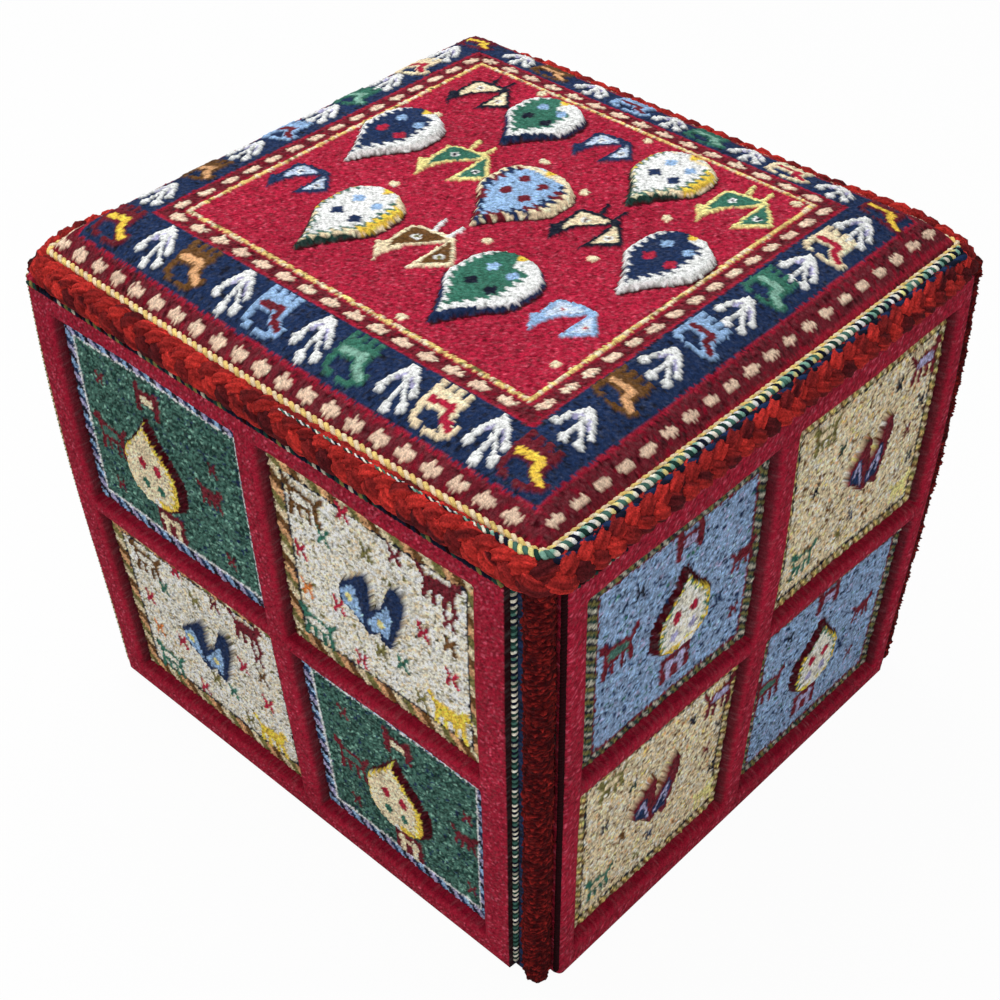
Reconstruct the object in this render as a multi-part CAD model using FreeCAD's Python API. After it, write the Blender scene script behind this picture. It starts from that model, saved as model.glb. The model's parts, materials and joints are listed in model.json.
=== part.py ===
import FreeCAD, Part
import math
import os

# Rug pouf: a four-square seat block with carved-pile rugs over a plywood carcass.
# Millimetres, +Z up, the floor at z = 0 and the centre of the plan at the origin.
# The front faces -Y and the right-hand side faces +X.

# Overall body
TOP_WIDTH = 430.0           # left to right over the red pile bars, level with the top rug's rim
TOP_DEPTH = 400.0           # front to back, the same way
FLARE = 8.0                 # how far each side leans out between the floor and the rim
RIM_Z = 354.0               # height of the top rug's pile at its rim
CROWN = 31.0                # how far the stuffed top stands above its rim
CROWN_SHOULDER = 26.0       # width of the sloping shoulder all round the crown
CROWN_ROUND = 24.0          # rounding of the shoulder's upper edges and hips

# Plywood carcass and its wadding
PLY_T = 12.0
POST_SIDE = 30.0
DECK_TOP_Z = 302.0          # upper face of the seat deck
PAD_T = 8.0                 # wadding where the side rug comes nearest to its board

# Side rugs
FOUNDATION_T = 5.0          # woven ground with its short pile
BAR_PROUD = 9.0             # how far the long-pile bars stand above the ground
BAR_ROUND = 3.2
SIDE_BAR_W = 20.0
CENTRE_BAR_W = 20.0
TOP_BAR_H = 20.0
MIDDLE_BAR_H = 16.0
BOTTOM_BAR_H = 18.0
MIDDLE_BAR_Z = 175.0        # height of the middle bar's centre line
SELVEDGE_W = 7.5            # bare strip at the right-hand end of each side rug
HEM_T = 4.0                 # the rug's lower edge, shorn and folded under the base
HEM_W = 40.0
HEM_MITRE_GAP = 4.0

# Raised figures on the rugs
SIDE_FIGURE_PROUD = 4.0
SIDE_BOTEH_R = 20.0
SIDE_BOTEH_TIP = 42.0       # from the middle of the bulb to the tip
TOP_FIGURE_PROUD = 5.0
TOP_BOTEH_R = 25.0
TOP_BOTEH_TIP = 52.0
TOP_BOTEH_PITCH = 108.0     # along a row of figures
TOP_ROW_PITCH = 75.5        # between the rows
TOP_COLUMN_SHIFT = -4.0     # middle column of the field, off the middle of the pouf
TOP_ROW_SHIFT = 24.5        # bulbs of the middle row, behind the middle of the pouf
BIRD_SPAN = 46.0

# Top rug, its cords and the plait
TOP_RUG_T = 8.0
RIM_CORD_R = 2.2
TWIST_R = 2.8
FRONT_TWIST_LENGTH = 170.0  # the twisted cord turns the front corner and goes on this far
PLAIT_R = 7.8
PLAIT_INSET = 5.0           # plait's centre line inside the top plan
PLAIT_DROP = 3.0            # the same line below the top rug's rim
PLAIT_CORNER_R = 18.0

# Corner rolls
ROLL_R = 7.5
ROLL_INSET = 10.0           # roll's axis inside the plan, both ways

# Underside
GLIDE_R = 11.0
GLIDE_H = 5.0
GLIDE_DOME = 1.2
GLIDE_X = 120.0
DUST_COVER_T = 1.0
DUST_COVER_MARGIN = 9.0

# Clearances
SEAT_GAP = 0.3              # soft pieces stop this far from each other
CORNER_GAP = 1.0            # rug ends to the corner roll

# Heights and half widths that follow from the values above
dust_z = GLIDE_H
hem_z = dust_z + DUST_COVER_T
base_z = hem_z + HEM_T
board_z = base_z + PLY_T
board_top_z = DECK_TOP_Z - PLY_T
foam_rim_z = RIM_Z - TOP_RUG_T
plait_x = TOP_WIDTH / 2 - PLAIT_INSET
plait_y = TOP_DEPTH / 2 - PLAIT_INSET
plait_z = RIM_Z - PLAIT_DROP
rug_top_z = plait_z - PLAIT_R - SEAT_GAP
cover_x = plait_x - PLAIT_R - SEAT_GAP
cover_y = plait_y - PLAIT_R - SEAT_GAP
rug_t = FOUNDATION_T + BAR_PROUD
lean = math.degrees(math.atan2(FLARE, RIM_Z))
rug_height = (rug_top_z - hem_z) / math.cos(math.radians(lean))
roll_room = ROLL_INSET + ROLL_R + CORNER_GAP
bar_end = roll_room + SELVEDGE_W
rim_ledge = 2 * RIM_CORD_R + SEAT_GAP
cover_corner = PLAIT_CORNER_R - PLAIT_R - SEAT_GAP

# Each side's turn, its corner on the right, its plan size along it and the one across the pouf
SIDES = (
    ("front", 0, "front_right", TOP_WIDTH, TOP_DEPTH),
    ("right", 90, "back_right", TOP_DEPTH, TOP_WIDTH),
    ("back", 180, "back_left", TOP_WIDTH, TOP_DEPTH),
    ("left", 270, "front_left", TOP_DEPTH, TOP_WIDTH),
)
# Which figure each window of a side rug carries, by column and row
WINDOW_FIGURES = {(0, 0): "bird", (1, 0): "boteh", (0, 1): "boteh", (1, 1): "bird"}

UP = FreeCAD.Vector(0, 0, 1)
ORIGIN = FreeCAD.Vector(0, 0, 0)

os.makedirs("parts", exist_ok=True)


def save(name, shape):
    """Write one node of the assembly."""
    shape.exportStep("parts/" + name + ".step")
    print(name, "solids", len(shape.Solids), "valid", shape.isValid(), "volume", round(shape.Volume))


def turned(shape, angle):
    """Copy of a shape turned about the vertical axis of the pouf."""
    copy = shape.copy()
    copy.rotate(ORIGIN, UP, angle)
    return copy


def half_at(plan, z):
    """Half of a plan size over the bars at a height above the floor."""
    return plan / 2 - FLARE * (1 - z / RIM_Z)


def carcass_half(plan):
    """Half of the upright carcass, which stands inside the leaning rugs wherever they come nearest."""
    return min(half_at(plan, base_z), half_at(plan, DECK_TOP_Z)) - rug_t - SEAT_GAP - PAD_T


carcass_x = carcass_half(TOP_WIDTH)
carcass_y = carcass_half(TOP_DEPTH)
glide_y = carcass_y - HEM_W / 2


def block(length, width, height, x, y, z):
    """Box placed by the middle of its lower face."""
    return Part.makeBox(length, width, height, FreeCAD.Vector(x - length / 2, y - width / 2, z))


def polygon(points):
    """Closed straight-sided wire through the points."""
    vectors = [FreeCAD.Vector(*point) for point in points]
    return Part.makePolygon(vectors + vectors[:1])


def rounded_loop(half_x, half_y, corner_r, z):
    """Closed level path with four straight runs and four corner arcs, from the right side's front end."""
    edges = []
    last = FreeCAD.Vector(half_x, corner_r - half_y, z)
    for along_x, along_y in ((1, 1), (-1, 1), (-1, -1), (1, -1)):
        centre = FreeCAD.Vector(along_x * (half_x - corner_r), along_y * (half_y - corner_r), z)
        on_x = centre + FreeCAD.Vector(along_x * corner_r, 0, 0)
        on_y = centre + FreeCAD.Vector(0, along_y * corner_r, 0)
        bend = centre + FreeCAD.Vector(along_x, along_y, 0) * (corner_r * math.sqrt(0.5))
        start, end = (on_x, on_y) if along_x == along_y else (on_y, on_x)
        edges.append(Part.makeLine(last, start))
        edges.append(Part.Arc(start, bend, end).toShape())
        last = end
    return Part.Wire(edges)


def tube(path, start, direction, radius):
    """Round cord that follows a path from a start point."""
    section = Part.Wire(Part.makeCircle(radius, start, direction))
    sharp_corners = 1
    return path.makePipeShell([section], True, True, sharp_corners)


def teardrop(bulb_r, tip):
    """Outline of a boteh about the middle of its bulb, with its tip towards +Y."""
    spread = math.acos(bulb_r / tip)
    side = FreeCAD.Vector(bulb_r * math.sin(spread), bulb_r * math.cos(spread), 0)
    other = FreeCAD.Vector(-side.x, side.y, 0)
    point = FreeCAD.Vector(0, tip, 0)
    bulb = Part.Arc(side, FreeCAD.Vector(0, -bulb_r, 0), other).toShape()
    return Part.Wire([bulb, Part.makeLine(other, point), Part.makeLine(point, side)])


def bird(span):
    """Outline of a crouching bird about its middle, its two crests towards +Y."""
    half = span / 2
    crest = half * 0.95
    outline = (
        (-half, 0.05 * half, 0),
        (-0.55 * half, crest * 0.8, 0),
        (-0.3 * half, crest * 0.75, 0),
        (0, -0.2 * half, 0),
        (0.45 * half, crest * 0.9, 0),
        (0.75 * half, crest, 0),
        (half, 0.6 * half, 0),
        (0.8 * half, -0.5 * half, 0),
        (0.45 * half, -crest, 0),
        (-0.4 * half, -crest, 0),
    )
    return polygon(outline)


def window_columns(run, v):
    """Left and right edges of the two columns of windows at a height up the rug."""
    half = half_at(run, hem_z + v)
    left = -(half - roll_room) + SIDE_BAR_W
    right = half - bar_end - SIDE_BAR_W
    centre = (left + right) / 2
    return ((left, centre - CENTRE_BAR_W / 2), (centre + CENTRE_BAR_W / 2, right))


def side_rug(run, across):
    """Front rug standing upright at y = 0 with its foot on z = 0, then leant and placed."""
    low_half = half_at(run, hem_z)
    high_half = half_at(run, rug_top_z)
    foot_y = half_at(across, hem_z)
    ground = Part.Face(polygon((
        (-(low_half - roll_room), BAR_PROUD, 0),
        (low_half - roll_room, BAR_PROUD, 0),
        (high_half - roll_room, BAR_PROUD, rug_height),
        (-(high_half - roll_room), BAR_PROUD, rug_height),
    ))).extrude(FreeCAD.Vector(0, FOUNDATION_T, 0))

    outer = polygon((
        (-(low_half - roll_room), 0, 0),
        (low_half - bar_end, 0, 0),
        (high_half - bar_end, 0, rug_height),
        (-(high_half - roll_room), 0, rug_height),
    ))
    middle = MIDDLE_BAR_Z - hem_z
    rows = (
        (BOTTOM_BAR_H, middle - MIDDLE_BAR_H / 2),
        (middle + MIDDLE_BAR_H / 2, rug_height - TOP_BAR_H),
    )
    bars = Part.Face(outer).extrude(FreeCAD.Vector(0, BAR_PROUD, 0))
    figures = []
    for row, (low, high) in enumerate(rows):
        for column in (0, 1):
            left_low, right_low = window_columns(run, low)[column]
            left_high, right_high = window_columns(run, high)[column]
            hole = Part.Face(polygon((
                (left_low, 0, low),
                (right_low, 0, low),
                (right_high, 0, high),
                (left_high, 0, high),
            ))).extrude(FreeCAD.Vector(0, BAR_PROUD, 0))
            bars = bars.cut(hole)
            if WINDOW_FIGURES[(column, row)] == "boteh":
                outline = teardrop(SIDE_BOTEH_R, SIDE_BOTEH_TIP)
                drop = (SIDE_BOTEH_TIP - SIDE_BOTEH_R) / 2
            else:
                outline = bird(BIRD_SPAN)
                drop = 0
            figure = Part.Face(outline).extrude(FreeCAD.Vector(0, 0, SIDE_FIGURE_PROUD))
            figure.rotate(ORIGIN, FreeCAD.Vector(1, 0, 0), 90)
            middle_u = (left_low + right_low + left_high + right_high) / 4
            figure.translate(FreeCAD.Vector(middle_u, BAR_PROUD, (low + high) / 2 - drop))
            figures.append(figure)
    face_edges = [
        edge for edge in bars.Edges
        if all(abs(vertex.Y) < 1e-6 for vertex in edge.Vertexes)
    ]
    bars = bars.makeFillet(BAR_ROUND, face_edges)
    rug = ground.fuse([bars] + figures).removeSplitter()
    rug.rotate(ORIGIN, FreeCAD.Vector(1, 0, 0), lean)
    rug.translate(FreeCAD.Vector(0, -foot_y, hem_z))

    # The hem runs from inside the rug's foot to under the base board, mitred at its ends
    edge_y = foot_y - BAR_PROUD - FOUNDATION_T / 2
    inner_y = carcass_half(across) - HEM_W
    edge_u = low_half - roll_room - HEM_MITRE_GAP
    inner_u = carcass_half(run) - HEM_W - HEM_MITRE_GAP
    hem = Part.Face(polygon((
        (-edge_u, -edge_y, hem_z),
        (edge_u, -edge_y, hem_z),
        (inner_u, -inner_y, hem_z),
        (-inner_u, -inner_y, hem_z),
    ))).extrude(FreeCAD.Vector(0, 0, HEM_T))
    return rug.fuse(hem).removeSplitter()


def side_pad(run, across):
    """Front wadding: thicker at the top, so that the rug leans out over an upright board."""
    def outline(z):
        outer_u = half_at(run, z) - rug_t - SEAT_GAP
        outer_y = half_at(across, z) - rug_t - SEAT_GAP
        inner_u = carcass_half(run)
        inner_y = carcass_half(across)
        outer = ((-outer_u, -outer_y, z), (outer_u, -outer_y, z))
        inner = ((inner_u, -inner_y, z), (-inner_u, -inner_y, z))
        return polygon(outer + inner)

    pad = Part.makeLoft([outline(base_z), outline(DECK_TOP_Z)], True, True)
    for hand in (-1, 1):
        pad = pad.cut(corner_axis(run, across, hand, ROLL_R + SEAT_GAP))
    return pad


def corner_axis(run, across, hand, radius):
    """Round bar along the roll at the front side's right-hand corner, or its left-hand one."""
    foot_u = half_at(run, hem_z) - ROLL_INSET
    head_u = half_at(run, rug_top_z) - ROLL_INSET
    foot = FreeCAD.Vector(hand * foot_u, ROLL_INSET - half_at(across, hem_z), hem_z)
    head = FreeCAD.Vector(hand * head_u, ROLL_INSET - half_at(across, rug_top_z), rug_top_z)
    return Part.makeCylinder(radius, foot.distanceToPoint(head), foot, head - foot)


def corner_twist(run, across):
    """Two-colour cord laid on the front rug's selvedge, beside the roll at its right-hand end."""
    inset = roll_room + SELVEDGE_W / 2 - SEAT_GAP
    depth = BAR_PROUD - TWIST_R - SEAT_GAP / 2
    foot = FreeCAD.Vector(half_at(run, hem_z) - inset, depth - half_at(across, hem_z), hem_z)
    head = FreeCAD.Vector(half_at(run, rug_top_z) - inset, depth - half_at(across, rug_top_z), rug_top_z)
    return Part.makeCylinder(TWIST_R, foot.distanceToPoint(head), foot, head - foot)


def rectangle(half_x, half_y, z):
    """Level rectangular wire about the vertical axis."""
    return polygon(((-half_x, -half_y, z), (half_x, -half_y, z), (half_x, half_y, z), (-half_x, half_y, z)))


def crown_block(low_z, rim_z, rounded):
    """Block with a level ledge at its rim and a stuffed crown above the ledge."""
    foot_x = cover_x - rim_ledge
    foot_y = cover_y - rim_ledge
    foot = rectangle(foot_x, foot_y, rim_z)
    head = rectangle(foot_x - CROWN_SHOULDER, foot_y - CROWN_SHOULDER, rim_z + CROWN)
    hip = Part.makeLoft([foot, head], True, True)
    if rounded:
        soft_edges = [edge for edge in hip.Edges if edge.BoundBox.ZMax > rim_z + CROWN / 2]
        hip = hip.makeFillet(CROWN_ROUND, soft_edges)
    slab = block(2 * cover_x, 2 * cover_y, rim_z - low_z, 0, 0, low_z)
    upright = [edge for edge in slab.Edges if edge.BoundBox.ZLength > (rim_z - low_z) / 2]
    return slab.makeFillet(cover_corner, upright).fuse(hip)


def top_rug():
    """Crowned rug with seven raised botehs, tips towards the front."""
    rug = crown_block(foam_rim_z, RIM_Z, True)
    raised = crown_block(RIM_Z, RIM_Z + TOP_FIGURE_PROUD, True)
    outline = teardrop(TOP_BOTEH_R, TOP_BOTEH_TIP)
    boteh = Part.Face(outline).extrude(FreeCAD.Vector(0, 0, CROWN + TOP_FIGURE_PROUD))
    boteh.rotate(ORIGIN, UP, 180)
    for row, columns in ((1, (-0.5, 0.5)), (0, (-1, 0, 1)), (-1, (-0.5, 0.5))):
        for column in columns:
            figure = boteh.copy()
            across = column * TOP_BOTEH_PITCH + TOP_COLUMN_SHIFT
            along = row * TOP_ROW_PITCH + TOP_ROW_SHIFT
            figure.translate(FreeCAD.Vector(across, along, RIM_Z))
            rug = rug.fuse(figure.common(raised))
    return rug.cut(crown_block(DECK_TOP_Z, foam_rim_z, False)).removeSplitter()


def seat_foam():
    """Foam on the deck: it follows the lean of the side rugs and the crown of the top rug."""
    top_z = foam_rim_z + CROWN
    inset = rug_t + SEAT_GAP
    levels = [
        rectangle(half_at(TOP_WIDTH, z) - inset, half_at(TOP_DEPTH, z) - inset, z)
        for z in (DECK_TOP_Z, top_z)
    ]
    room = Part.makeLoft(levels, True, True)
    foam = crown_block(DECK_TOP_Z, foam_rim_z - SEAT_GAP, False).common(room)
    grooves = [
        turned(corner_axis(run, across, 1, ROLL_R + SEAT_GAP), angle)
        for name, angle, corner, run, across in SIDES
    ]
    return foam.cut(grooves)


def rim_cord():
    """Cord on the top rug's ledge, its corners cut across to stay clear of the edge twist."""
    half_x = cover_x - RIM_CORD_R
    half_y = cover_y - RIM_CORD_R
    z = RIM_Z + RIM_CORD_R + SEAT_GAP / 2
    corner_cut = cover_corner - RIM_CORD_R
    points = [(half_x, 0, z)]
    for along, across in ((1, 1), (-1, 1), (-1, -1), (1, -1)):
        on_x = (along * half_x, across * (half_y - corner_cut), z)
        on_y = (along * (half_x - corner_cut), across * half_y, z)
        points += [on_x, on_y] if along == across else [on_y, on_x]
    return tube(polygon(points), FreeCAD.Vector(*points[0]), FreeCAD.Vector(0, 1, 0), RIM_CORD_R)


def edge_twist():
    """Two-colour cord on the shoulder between the rim cord and the plait, right and front."""
    line_x = cover_x + TWIST_R + SEAT_GAP
    line_y = cover_y + TWIST_R + SEAT_GAP
    away = plait_x - line_x
    z = plait_z + math.sqrt((PLAIT_R + TWIST_R + SEAT_GAP) ** 2 - away ** 2)
    bend = PLAIT_CORNER_R - away
    centre = FreeCAD.Vector(line_x - bend, bend - line_y, z)
    far = FreeCAD.Vector(line_x, line_y - bend, z)
    turn = centre + FreeCAD.Vector(bend, 0, 0)
    middle = centre + FreeCAD.Vector(1, -1, 0) * (bend * math.sqrt(0.5))
    after = centre + FreeCAD.Vector(0, -bend, 0)
    end = after - FreeCAD.Vector(FRONT_TWIST_LENGTH, 0, 0)
    path = Part.Wire([
        Part.makeLine(far, turn),
        Part.Arc(turn, middle, after).toShape(),
        Part.makeLine(after, end),
    ])
    return tube(path, far, FreeCAD.Vector(0, -1, 0), TWIST_R)


def glide(x, y):
    """Low plastic disc with its lower edge eased."""
    disc = Part.makeCylinder(GLIDE_R, GLIDE_H, FreeCAD.Vector(x, y, 0))
    low_edges = [edge for edge in disc.Edges if edge.BoundBox.ZMax < GLIDE_H / 2]
    return disc.makeChamfer(GLIDE_DOME, low_edges)


# Carcass
board_h = board_top_z - board_z
save("base_board", block(2 * carcass_x, 2 * carcass_y, PLY_T, 0, 0, base_z))
save("deck_board", block(2 * carcass_x, 2 * carcass_y, PLY_T, 0, 0, board_top_z))
for name, angle, corner, run, across in SIDES:
    lap = 0 if name in ("front", "back") else PLY_T
    length = 2 * (carcass_half(run) - lap)
    board = block(length, PLY_T, board_h, 0, PLY_T / 2 - carcass_half(across), board_z)
    save(name + "_board", turned(board, angle))
    post_inset = PLY_T + POST_SIDE / 2
    post_x = carcass_half(run) - post_inset
    post = block(POST_SIDE, POST_SIDE, board_h, post_x, post_inset - carcass_half(across), board_z)
    save("corner_post_" + corner, turned(post, angle))

# Stuffing
save("seat_foam", seat_foam())

# Rugs, wadding, rolls and twists, side by side round the pouf
save("top_rug", top_rug())
for name, angle, corner, run, across in SIDES:
    save("side_pad_" + name, turned(side_pad(run, across), angle))
    save("side_rug_" + name, turned(side_rug(run, across), angle))
    save("corner_roll_" + corner, turned(corner_axis(run, across, 1, ROLL_R), angle))
    save("corner_twist_" + corner, turned(corner_twist(run, across), angle))

# Cords and plait along the top edge
plait_path = rounded_loop(plait_x, plait_y, PLAIT_CORNER_R, plait_z)
plait_start = FreeCAD.Vector(plait_x, PLAIT_CORNER_R - plait_y, plait_z)
save("top_edge_plait", tube(plait_path, plait_start, FreeCAD.Vector(0, 1, 0), PLAIT_R))
save("rim_cord", rim_cord())
save("edge_twist", edge_twist())

# Underside
cover_inset = 2 * DUST_COVER_MARGIN
dust_x = 2 * carcass_x - cover_inset
dust_y = 2 * carcass_y - cover_inset
save("dust_cover", block(dust_x, dust_y, DUST_COVER_T, 0, 0, dust_z))
glides = [glide(x, y) for x in (-GLIDE_X, GLIDE_X) for y in (-glide_y, glide_y)]
save("glides", Part.makeCompound(glides))
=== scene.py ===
"""Rug pouf: knotted rugs, plait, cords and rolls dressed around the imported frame."""

import json
import logging
import math
from collections.abc import Sequence
from dataclasses import dataclass, field
from enum import Enum, IntEnum

import bpy
import numpy as np
from mathutils import Matrix, Vector

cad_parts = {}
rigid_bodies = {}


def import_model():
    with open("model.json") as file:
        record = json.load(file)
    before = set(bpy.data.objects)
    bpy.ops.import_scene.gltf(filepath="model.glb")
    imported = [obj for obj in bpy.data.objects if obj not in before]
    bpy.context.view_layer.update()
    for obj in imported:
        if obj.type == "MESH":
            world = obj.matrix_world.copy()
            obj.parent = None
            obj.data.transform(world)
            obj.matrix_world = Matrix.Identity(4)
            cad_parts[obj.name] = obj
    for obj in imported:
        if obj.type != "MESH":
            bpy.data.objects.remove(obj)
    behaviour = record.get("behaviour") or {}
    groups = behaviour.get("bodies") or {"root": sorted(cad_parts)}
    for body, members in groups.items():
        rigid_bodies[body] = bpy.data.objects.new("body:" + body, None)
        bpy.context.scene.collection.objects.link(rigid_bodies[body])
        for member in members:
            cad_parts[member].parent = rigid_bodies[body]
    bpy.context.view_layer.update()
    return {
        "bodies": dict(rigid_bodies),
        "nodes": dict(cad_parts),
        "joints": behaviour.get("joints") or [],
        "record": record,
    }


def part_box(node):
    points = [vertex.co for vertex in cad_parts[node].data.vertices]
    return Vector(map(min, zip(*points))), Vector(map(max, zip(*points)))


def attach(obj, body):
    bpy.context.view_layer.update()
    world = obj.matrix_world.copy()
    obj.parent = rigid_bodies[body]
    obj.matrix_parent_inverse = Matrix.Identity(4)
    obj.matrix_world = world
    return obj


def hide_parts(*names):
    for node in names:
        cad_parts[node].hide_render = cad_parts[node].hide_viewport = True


LOG = logging.getLogger("rug_pouf")
MM = 0.001
TURN = 2 * math.pi
YARN_LAYER = "yarn"
SIDES = ("front", "right", "back", "left")
CORNERS = ("front_right", "back_right", "back_left", "front_left")

Point = tuple[float, float]


class Seed(IntEnum):
    """Where each piece's random draws start; pieces of a kind count on from theirs by side."""

    TOP_RUG = 11
    TOP_PILE = 12
    SIDE_RUG = 31
    SIDE_PILE = 51
    RIM_CORD = 72
    EDGE_TWIST = 73
    EDGE_STRIP = 74
    CORNER_TWIST = 75
    END_LINE = 79
    PLAIT = 81
    HEAD_LINE = 85
    ROLL = 91
    HEM = 101


class Yarn(Enum):
    """Dyed wools of the rugs and cords, as sRGB out of 255; a few also stand for painted shade and painted light."""

    CRIMSON = (174, 32, 60)
    BAR_RED = (158, 26, 50)
    ROSE = (196, 72, 94)
    # WINE is a real yarn of the heathers; on the windows' up-facing bottom walls it is painted light.
    WINE = (132, 14, 38)
    # DEEP_RED is a real yarn of the top border's ground; it also paints shade: the windows' walls, the shadows beside
    # the raised botehs and part of the window botehs' outlines.
    DEEP_RED = (66, 6, 18)
    # SHADE is painted shade, not a yarn: the gaps at the bars' ends, the cords that fill the gaps beside the rolls, and
    # dark turns of the head line.
    SHADE = (34, 5, 10)
    MAROON = (108, 29, 41)
    PLAIT_RED = (184, 47, 42)
    # PLAIT_DARK: the plait's darker yarn, partly painted shade of its lower row.
    PLAIT_DARK = (80, 22, 26)
    ROLL_RED = (54, 5, 10)
    NAVY = (30, 48, 84)
    INK = (20, 25, 42)
    WHITE = (240, 242, 240)
    CREAM = (246, 224, 186)
    BLUSH = (238, 206, 180)
    IVORY = (244, 237, 218)
    YELLOW = (246, 204, 76)
    STRAW = (240, 208, 128)
    PALE_YELLOW = (244, 228, 150)
    GREEN = (56, 112, 94)
    LEAF = (72, 112, 100)
    DARK_GREEN = (30, 60, 54)
    MINT = (130, 176, 158)
    SKY = (148, 182, 222)
    LILAC = (172, 168, 204)
    ICE = (196, 212, 238)
    FLAX = (186, 182, 164)
    BLUE = (142, 166, 200)
    BEIGE = (232, 210, 172)
    TAN = (222, 168, 120)
    BROWN = (104, 70, 36)
    OLIVE = (122, 116, 66)
    ORANGE = (218, 126, 60)

    @property
    def linear(self) -> np.ndarray:
        """The yarn's colour in linear light."""
        part = np.array(self.value) / 255.0
        return np.where(part <= 0.04045, part / 12.92, ((part + 0.055) / 1.055) ** 2.4)


class Tone:
    """A shader number whose arithmetic adds Math nodes."""

    def __init__(self, recipe: "Recipe", out: bpy.types.NodeSocket) -> None:
        """Keep the recipe and the socket that gives the number."""
        self.recipe = recipe
        self.out = out

    def __add__(self, other: "Tone | float") -> "Tone":
        """Sum of two numbers."""
        return self.recipe.math("ADD", self, other)

    def __radd__(self, other: float) -> "Tone":
        """Sum with a plain number in front."""
        return self.recipe.math("ADD", other, self)

    def __mul__(self, other: "Tone | float") -> "Tone":
        """Product of two numbers."""
        return self.recipe.math("MULTIPLY", self, other)

    def __rmul__(self, other: float) -> "Tone":
        """Product with a plain number in front."""
        return self.recipe.math("MULTIPLY", other, self)


class Recipe:
    """The node tree of a material or a world, written as expressions."""

    def __init__(self, owner: bpy.types.Material | bpy.types.World) -> None:
        """Start with an empty tree.

        Args:
            owner: The material or world that has the tree.
        """
        owner.use_nodes = True
        self.owner = owner
        self.tree = owner.node_tree
        self.tree.nodes.clear()

    def node(self, kind: str, settings: dict | None = None, sockets: dict | None = None) -> bpy.types.Node:
        """Add one node.

        Args:
            kind: The node's type.
            settings: Properties set first.
            sockets: Values or links of its inputs.

        Returns:
            The new node.
        """
        made = self.tree.nodes.new(kind)
        for key, value in (settings or {}).items():
            setattr(made, key, value)
        for key, value in (sockets or {}).items():
            self._feed(made.inputs[key], value)
        return made

    def _feed(self, socket: bpy.types.NodeSocket, value: object) -> None:
        """Link a socket or set its value.

        Args:
            socket: An input of a node.
            value: A number, a colour, or the output to link.
        """
        if isinstance(value, Tone):
            self.tree.links.new(value.out, socket)
        elif isinstance(value, bpy.types.NodeSocket):
            self.tree.links.new(value, socket)
        else:
            socket.default_value = value

    def math(self, operation: str, first: "Tone | float", second: "Tone | float") -> Tone:
        """Add a Math node.

        Args:
            operation: The node's operation.
            first: Its first number.
            second: Its second number.

        Returns:
            The result.
        """
        made = self.node("ShaderNodeMath", {"operation": operation}, {0: first, 1: second})
        return Tone(self, made.outputs[0])

    def place(self) -> bpy.types.NodeSocket:
        """Object coordinates."""
        return self.node("ShaderNodeTexCoord").outputs["Object"]

    def noise(self, scale: float, detail: float, where: bpy.types.NodeSocket) -> Tone:
        """Noise over a surface.

        Args:
            scale: Cycles per metre.
            detail: Octaves.
            where: Coordinates.

        Returns:
            A number about one half.
        """
        made = self.node("ShaderNodeTexNoise", None, {"Vector": where, "Scale": scale, "Detail": detail})
        return Tone(self, made.outputs["Fac"])

    def stretch(self, where: bpy.types.NodeSocket, factors: Sequence[float]) -> bpy.types.NodeSocket:
        """Coordinates scaled apart along the axes."""
        made = self.node("ShaderNodeVectorMath", {"operation": "MULTIPLY"}, {0: where, 1: tuple(factors)})
        return made.outputs[0]

    def comb(
        self, where: bpy.types.NodeSocket, turn: Sequence[float], factors: Sequence[float]
    ) -> bpy.types.NodeSocket:
        """Coordinates turned, then drawn out along their new axes.

        Args:
            where: The coordinates.
            turn: Angles about the axes.
            factors: How far they are drawn out.

        Returns:
            The new coordinates.
        """
        made = self.node(
            "ShaderNodeMapping",
            {"vector_type": "TEXTURE"},
            {"Vector": where, "Rotation": tuple(turn), "Scale": tuple(factors)},
        )
        return made.outputs[0]

    def dim(self, colour: bpy.types.NodeSocket, factor: Tone) -> bpy.types.NodeSocket:
        """A colour made lighter or darker by a factor."""
        made = self.node("ShaderNodeVectorMath", {"operation": "SCALE"}, {0: colour, "Scale": factor})
        return made.outputs[0]

    def blend(self, factor: Tone, low: Sequence[float], high: Sequence[float]) -> bpy.types.NodeSocket:
        """A mix of two linear colours.

        Args:
            factor: The second colour's share.
            low: The first colour.
            high: The second colour.

        Returns:
            The mixed colour.
        """
        made = self.node(
            "ShaderNodeMix",
            {"data_type": "RGBA"},
            {0: factor, 6: (*low, 1.0), 7: (*high, 1.0)},
        )
        return made.outputs[2]

    def bump(self, height: Tone, depth: float) -> bpy.types.NodeSocket:
        """A normal from a height, with its depth in metres."""
        made = self.node("ShaderNodeBump", None, {"Height": height, "Strength": 1.0, "Distance": depth})
        return made.outputs["Normal"]

    def surface(self, sockets: dict) -> bpy.types.Material:
        """Finish the material with a Principled shader.

        Args:
            sockets: Values or links of the shader's inputs.

        Returns:
            The material.
        """
        shader = self.node("ShaderNodeBsdfPrincipled", None, sockets)
        self.node("ShaderNodeOutputMaterial", None, {"Surface": shader.outputs[0]})
        return self.owner


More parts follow.
